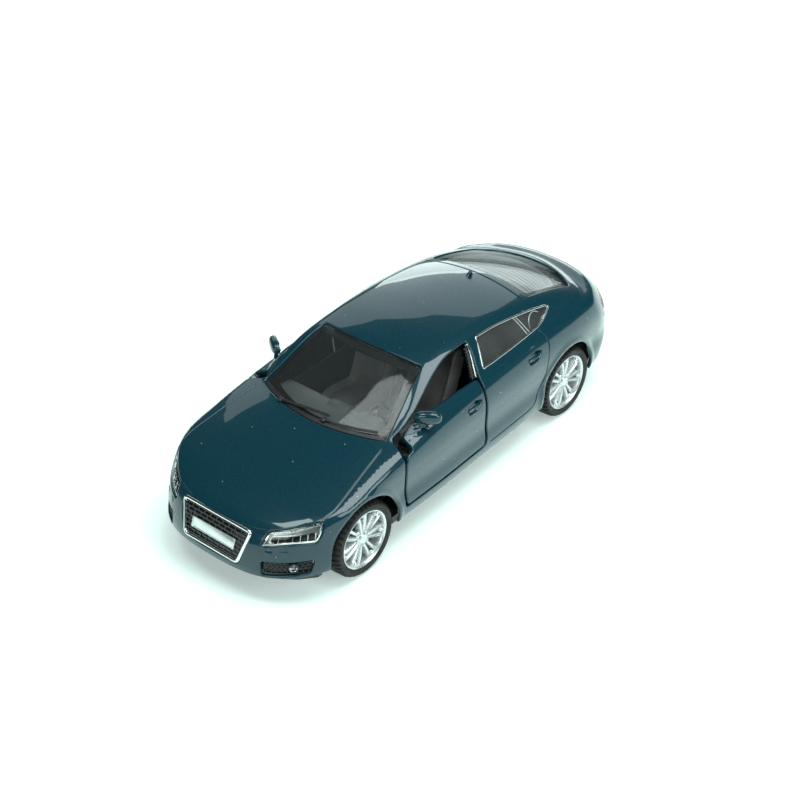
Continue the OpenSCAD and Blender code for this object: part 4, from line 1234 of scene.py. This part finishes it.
def nose_details(side, name):
    for key, q, r in (("sensor", (14.4, 13.4), 0.85), ("washer_cap", (17.2, 13.7), 0.8)):
        at = facing(from_front([q])[0])
        if key == "sensor":
            disc = revolve([(0.01, -0.2), (r, -0.2), (r, 0.02), (r - 0.12, 0.07), (0.01, 0.09)], at, 36)
        else:
            disc = prism(rect(2 * r, r * 1.1, 0.2), -0.2, 0.06, 0.05, at)
        add(f"{key}_{name}", mirrored(disc, side), PAINT)


def tail_details():
    add("plate_recess", rear_plate(), PAINT)
    low = [(-9.5, 8.1), (9.5, 8.1), (8.6, 10.3), (-8.6, 10.3)]
    diffuser = from_rear(resample(soften(low, 0.6), 0.5))
    add("rear_diffuser", panel(diffuser, (), 0.8, 0.12, 0.4, 0.16), BLACK)
    for side, name in LEFT_RIGHT:
        c = from_rear([(13.6, 9.0)])[0]
        at = frame_at(c + [0, -1.2, 0], (-1, 0, 0), (0, 0, 1), (0, 1, 0))
        tip = revolve([(1.25, 0), (1.5, 0), (1.5, 1.35), (1.42, 1.5), (1.3, 1.45), (1.25, 1.3)], at, 40)
        tip[0][:, 2] = c[2] + (tip[0][:, 2] - c[2]) * 0.62
        add(f"exhaust_tip_{name}", mirrored(tip, side), CHROME)


def rear_plate():
    """Floor behind the plate opening, with a blank plate standing on it."""
    edge = from_rear(resample(soften([(-8.2, 13.4), (8.2, 13.4), (7.6, 19.2), (-7.6, 19.2)], 0.5), 0.5))
    y = edge[:, 1].min() - 1.0
    outline = edge[:, [0, 2]]
    outline = outline[::-1] if area(outline) < 0 else outline
    at = frame_at((0, y, 0), (1, 0, 0), (0, 0, 1), (0, 1, 0))
    floor = prism(outline * [1.02, 1], -0.4, 0.15, 0.05, at)
    plate = prism(rect(13.2, 3, 0.25), 0.15, 0.5, 0.1, lambda q: at(q + [0, 16.2, 0]))
    return joined([floor, plate])


# ---- Wheels ----
SPOKES = 7
DRAWN_R = 9.1
LUG_CIRCLE = 1.75
FOOT_CIRCLE = 6.2


def wheel_at(side, name):
    """Placement of a wheel drawn with its outer face towards +Z, from its CAD tyre."""
    low, high = node_mm(name)
    y, z = (low[1] + high[1]) / 2, (low[2] + high[2]) / 2
    x = low[0] if side > 0 else high[0]
    at = frame_at((x, y, z), (0, side, 0), (0, 0, 1), (side, 0, 0))
    return at, high[0] - low[0], (high[2] - low[2]) / 2


def tyre(at, width, radius):
    """Plain side walls, three grooves round the tread and notched shoulders."""
    half = width / 2
    side_wall = [(6.85, 0.35), (7.1, 0.18), (7.9, 0.02), (8.3, 0.1), (8.62, 0.32), (8.86, 0.72),
                 (9.0, 1.15), (9.0, 1.9), (8.78, 1.95), (8.78, 2.2), (9.02, 2.25)]
    profile = [(r * radius / DRAWN_R, h) for r, h in side_wall]
    profile += [(radius - 0.02, half - 0.18), (radius - 0.24, half - 0.14)]
    profile += [(r, width - h) for r, h in reversed(profile)]

    def tread(k, prof):
        h = prof[:, 1]
        shoulder = (prof[:, 0] > 8.5 * radius / DRAWN_R) & ((h < 1.9) | (h > width - 1.9))
        return np.where(shoulder, 0.42 if k % 4 < 2 else 0, 0)
    return revolve(profile, at, 168, tread)


def rim_barrel(at, w):
    profile = [(6.9, 0.4), (6.9, w - 0.35), (6.98, w - 0.2), (6.92, w), (6.75, w + 0.04),
               (6.55, w - 0.1), (6.42, w - 0.45), (6.36, w - 0.9), (6.3, w - 1.5), (6.15, w - 3.2),
               (6.1, 0.8)]
    return revolve(profile, at, 96)


def spoke(a, sign, w):
    """One arm of a double spoke: a ridged bar from the hub to the rim."""
    t = np.linspace(0, 1, 12)
    r = 1.5 + 4.95 * t
    off = sign * (0.38 + 0.78 * t ** 1.2)
    half = 0.36 + 0.1 * t
    top = w - 0.75 + 0.38 * np.sin(t * math.pi * 0.62) - 0.28 * t ** 3
    pts = []
    section = [(-1, -1.5), (-1, -0.32), (-0.62, -0.04), (-0.3, -0.12), (0, -0.22), (0.3, -0.12),
               (0.62, -0.04), (1, -0.32), (1, -1.5)]
    for k in range(len(t)):
        for s, d in section:
            x, y = r[k], off[k] + s * half[k]
            pts.append((x * math.cos(a) - y * math.sin(a), x * math.sin(a) + y * math.cos(a), top[k] + d))
    n = len(section)
    faces = [tuple(range(n))[::-1], tuple(range(len(pts) - n, len(pts)))]
    for k in range(len(t) - 1):
        faces += strip(list(range(k * n, (k + 1) * n)), list(range((k + 1) * n, (k + 2) * n)), True)
    return np.array(pts), faces


def rim_face(at, w):
    parts = []
    for k in range(SPOKES):
        a = 2 * math.pi * k / SPOKES + math.pi / 2
        for sign in (-1, 1):
            p, f = spoke(a, sign, w)
            parts.append((at(p), f))
        root = a + math.pi / SPOKES
        lug_at = np.array([LUG_CIRCLE * math.cos(root), LUG_CIRCLE * math.sin(root), 0])
        parts.append(revolve([(0.01, w - 1.35), (0.34, w - 1.35), (0.34, w - 0.62), (0.2, w - 0.5),
                              (0.01, w - 0.5)], lambda q, lug_at=lug_at: at(q + lug_at), 6))
        p, f = blob((0, 0, 0), (0.75, 0.55, 0.5), None, 8, 12)
        p = p @ np.array(Matrix.Rotation(-a, 3, "Z"))
        parts.append((at(p + [FOOT_CIRCLE * math.cos(a), FOOT_CIRCLE * math.sin(a), w - 0.95]), f))
    hub = revolve([(0.01, w - 2), (2.25, w - 2), (2.25, w - 1.15), (2.05, w - 0.95), (1.35, w - 0.85),
                   (1.2, w - 0.6), (1.0, w - 0.42), (0.5, w - 0.36), (0.01, w - 0.34)], at, 56)
    star = revolve([(0.01, w - 0.5), (0.42, w - 0.5), (0.36, w - 0.28), (0.01, w - 0.22)], at, 7)
    return joined(parts + [hub, star])


def brake(at, w):
    disc = revolve([(0.9, w - 3.3), (4.7, w - 3.3), (4.8, w - 3.2), (4.8, w - 2.95), (4.7, w - 2.85),
                    (2.4, w - 2.85), (2.3, w - 2.6), (0.9, w - 2.6)], at, 64)
    holes = []
    for k in range(24):
        a = 2 * math.pi * k / 24
        r = 3.2 + 0.75 * (k % 2)
        holes.append(revolve([(0.01, w - 2.87), (0.16, w - 2.87), (0.16, w - 2.82), (0.01, w - 2.82)],
                             lambda q, a=a, r=r: at(q + [r * math.cos(a), r * math.sin(a), 0]), 10))
    return joined([disc] + holes)


def wheel(end, side, name):
    at, width, radius = wheel_at(side, f"tyre_{end}_{name}")
    body = f"{end}_wheels"
    add(f"tyre_{end}_{name}_tread", tyre(at, width, radius), RUBBER, body,
        [f"tyre_{end}_{name}"], sharp=30)
    w = width - 0.35
    add(f"rim_{end}_{name}_barrel", rim_barrel(at, w), RIM, body, [f"rim_{end}_{name}"])
    add(f"rim_{end}_{name}_spokes", rim_face(at, w), RIM, body, sharp=30)
    add(f"brake_disc_{end}_{name}", brake(at, w), STEEL, body)
    back = revolve([(0.9, 1.0), (6.12, 1.0), (6.12, 1.25), (0.9, 1.25)], at, 64)
    add(f"rim_{end}_{name}_back", back, BLACK, body)


# ---- Cabin ----
SEAT_LINE = [(-13.4, 13.0), (-13.6, 14.6), (-12.6, 15.7), (-9, 15.5), (-4.2, 14.5), (-2.6, 15.2),
             (-1.6, 17.6), (0.2, 21.8), (2.0, 26.0), (2.9, 28.6), (3.4, 29.6), (4.3, 29.9), (4.9, 28.6)]
SEAT_HALF = 5.4
SEAT_X = 8.7
SEAT_THICK = 2.3
SEAT_POINTS = 57
SEAM_X = 3.2


def seat_height(x, share):
    """How far the cushion stands above its line, across the seat."""
    a = np.abs(x) / SEAT_HALF
    bolster = 1.15 * np.exp(-((a - 0.86) / 0.15) ** 2)
    edge = -1.7 * np.clip((a - 0.88) / 0.12, 0, 1) ** 2
    seam = -0.28 * np.exp(-((np.abs(x) - SEAM_X) / 0.22) ** 2)
    centre = 0.22 * np.cos(np.clip(a / 0.6, 0, 1) * math.pi / 2)
    return (bolster + edge + seam + centre) * np.sin(np.clip(share, 0.02, 0.98) * math.pi) ** 0.25


def seat_path():
    p = resample(soften([(*q, 1.5) for q in SEAT_LINE], 1.5, False), 0.45, False)
    t = np.gradient(p, axis=0)
    t /= np.linalg.norm(t, axis=1)[:, None]
    return p, np.stack([-t[:, 1], t[:, 0]], 1)


def seat_shell(cx):
    """Cushion and backrest in one: a shaped front over a plain back."""
    p, n = seat_path()
    x = np.linspace(-1, 1, SEAT_POINTS)
    front, rear = [], []
    for k in range(len(p)):
        share = k / (len(p) - 1)
        taper = SEAT_HALF * (1 - 0.1 * np.clip((share - 0.6) / 0.4, 0, 1) ** 2)
        for rows, h in ((front, seat_height(x * SEAT_HALF, share)), (rear, np.full(len(x), -SEAT_THICK))):
            rows.append(np.column_stack([cx + x * taper, p[k, 0] + n[k, 0] * h, p[k, 1] + n[k, 1] * h]))
    m = SEAT_POINTS
    faces, total = [], len(p)
    for k in range(total - 1):
        for j in range(m - 1):
            a = k * m + j
            faces.append((a, a + 1, a + m + 1, a + m))
            b = a + total * m
            faces.append((b, b + m, b + m + 1, b + 1))
    for k in range(total - 1):
        for j in (0, m - 1):
            a = k * m + j
            faces.append((a, a + m, a + m + total * m, a + total * m))
    for j in range(m - 1):
        for k in (0, total - 1):
            a = k * m + j
            faces.append((a, a + total * m, a + 1 + total * m, a + 1))
    return np.vstack(front + rear), faces


def braid(cx, x):
    """Two rows of slanted stitches with a cord on each side, along the seat."""
    p, n = seat_path()
    h = seat_height(np.array([x]), 0.5)[0] + 0.05
    line = np.column_stack([np.full(len(p), cx + x), p[:, 0] + n[:, 0] * h, p[:, 1] + n[:, 1] * h])
    line = resample(line[6:-10], 0.62, False)
    parts = []
    for k in range(len(line) - 1):
        d = line[k + 1] - line[k]
        d = d / np.linalg.norm(d)
        up = np.cross(d, [1, 0, 0])
        for s in (-1, 1):
            a = line[k] + [s * 0.34, 0, 0] + 0.02 * up
            b = line[k] + d * 0.5 + [s * 0.03, 0, 0] + 0.05 * up
            parts.append(tube([a, (a + b) / 2 + 0.08 * up, b], [0.07, 0.12, 0.07], 6))
    for s in (-0.5, 0.5):
        parts.append(tube(line + [s, 0, 0], 0.1, 6))
    return parts


def headrest(cx):
    post = [tube([(cx + s, 4.1, 29.2), (cx + s, 4.3, 30.8)], 0.18, 8) for s in (-0.9, 0.9)]
    pad = blob((cx, 4.3, 31.4), (2.5, 0.85, 1.15), (6, "X"), 14, 24, 3.2)
    return joined(post), pad


def seats():
    shells, stitches, posts = [], [], []
    for sx in (-1, 1):
        cx = sx * SEAT_X
        shells.append(seat_shell(cx))
        post, pad = headrest(cx)
        shells.append(pad)
        posts.append(post)
        for x in (-SEAM_X, SEAM_X):
            stitches += braid(cx, x)
        shells.append(slab((cx - 4, -11, 9.2), (cx + 4, 1, 12.6), 0.6))
    add("front_seats", joined(shells), LEATHER, stands=["interior_tray"], sharp=60)
    add("seat_stitching", joined(stitches), DASH_GREY, sharp=60)
    add("headrest_posts", joined(posts), STEEL)


def rear_bench():
    parts = []
    for sx in (-1, 1):
        back = soften([(20.2, 19.8), (22, 20), (26.8, 29.3), (26, 30), (24.4, 29.6)], 0.8)
        at = frame_at((0, 0, 0), (0, 1, 0), (0, 0, 1), (1, 0, 0))
        low, high = (1.2, 13.6) if sx > 0 else (-13.6, -1.2)
        parts.append(prism(back, low, high, 0.6, at))
        parts.append(side_slab(sx, 1.2, 13.8, (10.8, 19.6), (21, 21.6), 0.8))
        parts.append(blob((sx * 7.4, 26.1, 30.4), (2.2, 0.8, 0.9), (-24, "X"), 12, 20, 3))
    parts.append(slab((-1.4, 20.6, 19.6), (1.4, 22, 24), 0.5))
    add("rear_bench", joined(parts), LEATHER, sharp=60)


def tray_walls():
    x = 16.9
    parts = [slab((-x, -27.5, 8.3), (x, 10.2, 9.2), 0.3), slab((-x, -27.5, 8.4), (x, -26.6, 18.4), 0.3),
             slab((-x, 9.6, 8.4), (x, 10.4, 19.9), 0.3), slab((-x, 9.6, 19.3), (x, 22.9, 19.9), 0.3),
             slab((-14.5, 22, 19.3), (14.5, 45.8, 19.9), 0.3)]
    for sx in (-1, 1):
        parts.append(side_slab(sx, 16.2, x, (-19.4, 8.8), (21.9, 21.9)))
    parts.append(slab((-13.9, 27.5, 24.6), (13.9, 45, 25.3), 0.3))
    add("cabin_floor", joined(parts), BLACK)


def dashboard():
    at = frame_at((0, 0, 0), (0, 1, 0), (0, 0, 1), (1, 0, 0))
    profile = soften([(-27.5, 18.3), (-20.6, 18.5), (-20.7, 20.3), (-19.7, 21.7), (-20.6, 23.1, 1.5),
                      (-24.6, 23.4, 3), (-27.5, 22.7)], 0.7)
    parts = [prism(profile, -16.4, 16.4, 0.5, at)]
    hood = soften([(-24, 23), (-19.9, 22.4), (-19.5, 23.4, 0.6), (-21.5, 24.3, 1.2)], 0.5)
    parts.append(prism(hood, 5.6, 11.8, 0.7, at))
    parts.append(prism(hood * [1, 0.985] + [-0.3, 0], -2.9, 2.9, 0.5, at))
    console = soften([(-27, 9), (10, 9), (10, 13.4), (1, 13.5, 2), (-12, 13.2, 3), (-18.6, 15.5, 3),
                      (-20.2, 20.6)], 0.8)
    parts.append(prism(console, -2.3, 2.3, 0.5, at))
    add("dashboard", joined(parts), DASH_GREY, sharp=50)
    face = frame_at((0, -20.3, 20.6), (1, 0, 0), (0, 0.35, 0.94), (0, -0.94, 0.35))
    trim = []
    for x in (-14.6, -4.4, 4.4, 14.6):
        trim.append(prism(rect(2.2, 1.1, 0.3), -1.15, -0.75, 0.1,
                          lambda q, x=x: face(q * [1, 1, -1] + [x, 0.6, 0])))
    trim.append(prism(rect(4.2, 2.2, 0.3), -1.2, -0.8, 0.1,
                      lambda q: face(q * [1, 1, -1] + [0, -0.3, 0])))
    lever = tube([(0, -9.6, 13.1), (0, -9.9, 14.6)], 0.25, 10)
    knob = blob((0, -9.95, 15), (0.6, 0.7, 0.6))
    trim += [lever, knob]
    add("dash_trim", joined(trim), SATIN)


COLUMN_LEAN = math.radians(65)


def steering_wheel():
    c, s = math.cos(COLUMN_LEAN), math.sin(COLUMN_LEAN)
    at = frame_at((8.7, -17.6, 20.4), (1, 0, 0), (0, c, s), (0, -s, c))
    t = np.linspace(0, 2 * math.pi, 64, endpoint=False)
    ring = loop_tube(at(np.stack([3.8 * np.cos(t), 3.8 * np.sin(t), 0 * t], 1)), 0.42, 12)
    hub, hub_faces = blob((0, 0, 0.1), (1.35, 1.15, 0.45), None, 12, 24, 2.6)
    parts = [ring, (at(hub), hub_faces)]
    for k in (0, 180, 270):
        c, s = math.cos(math.radians(k)), math.sin(math.radians(k))
        arm = np.array([[1.0 * c, 1.0 * s, 0.05], [2.4 * c, 2.4 * s, -0.1], [3.7 * c, 3.7 * s, 0]])
        parts.append(tube(at(arm), [0.5, 0.36, 0.42], 12, 0.6))
    parts.append(tube(at(np.array([[0, 0, -3.3], [0, 0, -0.2]])), 0.55, 16))
    add("steering_wheel_rim", joined(parts), BLACK,
        stands=["steering_wheel"], sharp=60)


def cad_finishes():
    """Procedural finishes for the CAD nodes that are shown as they are."""
    finish = {"chassis": BLACK, "chassis_screws": STEEL, "front_axle": STEEL, "rear_axle": STEEL,
              "hinge_pin_left": STEEL, "hinge_pin_right": STEEL, "motor_case": NYLON,
              "motor_cover": NYLON, "axle_gear": BRASS, "compound_gear": NYLON, "spring_gear": NYLON,
              "mainspring": STEEL, "motor_pins": STEEL}
    for name, material in finish.items():
        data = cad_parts[name].data
        data.materials.clear()
        data.materials.append(material)


# ---- Stage ----
def floor():
    bpy.ops.mesh.primitive_plane_add(size=6, location=(0, 0, 0))
    plane = bpy.context.object
    plane.name = "studio_floor"
    f = Finish("studio_floor", (0.8, 0.92, 0.89), 0.7)
    f.tint(f.spread(f.noise(3, 2), 0.3, 0.7, 0, 0.2), (0.78, 0.9, 0.87))
    f.shader.inputs["Emission Color"].default_value = (0.88, 1, 0.97, 1)
    f.shader.inputs["Emission Strength"].default_value = 0.35
    plane.data.materials.append(f.mat)


def soft_light(name, place, target, size, power, color=(1, 1, 1)):
    data = bpy.data.lights.new(name, "AREA")
    data.shape = "RECTANGLE"
    data.size, data.size_y = size
    data.energy = power
    data.color = color
    lamp = bpy.data.objects.new(name, data)
    lamp.location = place
    lamp.rotation_euler = (Vector(target) - Vector(place)).to_track_quat("-Z", "Y").to_euler()
    bpy.context.scene.collection.objects.link(lamp)
    return lamp


STUDIO = (0.88, 1.0, 0.98)


def lights():
    world = bpy.context.scene.world or bpy.data.worlds.new("studio")
    bpy.context.scene.world = world
    world.use_nodes = True
    world.node_tree.nodes["Background"].inputs["Color"].default_value = (0.66, 0.78, 0.77, 1)
    world.node_tree.nodes["Background"].inputs["Strength"].default_value = 0.07
    soft_light("top_box", (0.2, 0.12, 0.72), (0, 0, 0), (0.55, 0.45), 4.7, STUDIO)
    soft_light("left_box", (0.75, 0.1, 0.45), (0, 0, 0.01), (0.5, 0.4), 3, STUDIO)
    soft_light("brow_box", (-0.13, -0.2, 0.78), (0, 0, 0.01), (0.28, 0.26), 1.7, STUDIO)
    soft_light("back_box", (-0.6, 0.62, 0.46), (0, 0, 0.01), (0.8, 0.4), 1.0, STUDIO)
    soft_light("low_back_box", (-0.5, 0.77, 0.2), (0, 0, 0.01), (0.5, 0.2), 1.2, STUDIO)
    soft_light("front_box", (0.15, -0.85, 0.4), (0, 0, 0.01), (0.5, 0.25), 2, STUDIO)


CAMERA_PLACE = (0.205485, -0.238548, 0.234653)
CAMERA_TURN = (40.888, 35.164, -1.097)
CAMERA_LENS = 74.242


def camera():
    """Looks at the car from the front left, slightly rolled."""
    azimuth, elevation, roll = (math.radians(a) for a in CAMERA_TURN)
    back = np.array([math.sin(azimuth) * math.cos(elevation), -math.cos(azimuth) * math.cos(elevation),
                     math.sin(elevation)])
    right = np.array([math.cos(azimuth), math.sin(azimuth), 0])
    up = np.cross(back, right)
    turned = [right * math.cos(roll) + up * math.sin(roll),
              up * math.cos(roll) - right * math.sin(roll), back]
    data = bpy.data.cameras.new("camera")
    data.sensor_width = 36
    data.lens = CAMERA_LENS
    data.clip_start, data.clip_end = 0.01, 20
    view = bpy.data.objects.new("camera", data)
    view.matrix_world = Matrix([[*(float(turned[j][i]) for j in range(3)), c] for i, c in
                                enumerate(CAMERA_PLACE)] + [[0, 0, 0, 1]])
    bpy.context.scene.collection.objects.link(view)
    bpy.context.scene.camera = view


def build():
    body_panels()
    antenna()
    windscreen()
    back_window()
    cowl_and_wipers()
    grille()
    tail_details()
    seats()
    rear_bench()
    tray_walls()
    dashboard()
    steering_wheel()
    for side, name in LEFT_RIGHT:
        door(side, name)
        door_barrel(side, name)
        handle(HANDLE_FRONT, side, f"door_handle_{name}", f"{name}_door")
        handle(HANDLE_REAR, side, f"rear_handle_{name}", "car_body")
        mirror_housing(side, name)
        side_window(side, name)
        pillar_trim(side, name)
        headlamp(side, name)
        fog_lamp(side, name)
        tail_lamp(side, name)
        nose_details(side, name)
        wheel("front", side, name)
        wheel("rear", side, name)
    cad_finishes()


build()
floor()
lights()
camera()
bpy.context.scene.view_settings.view_transform = "Standard"
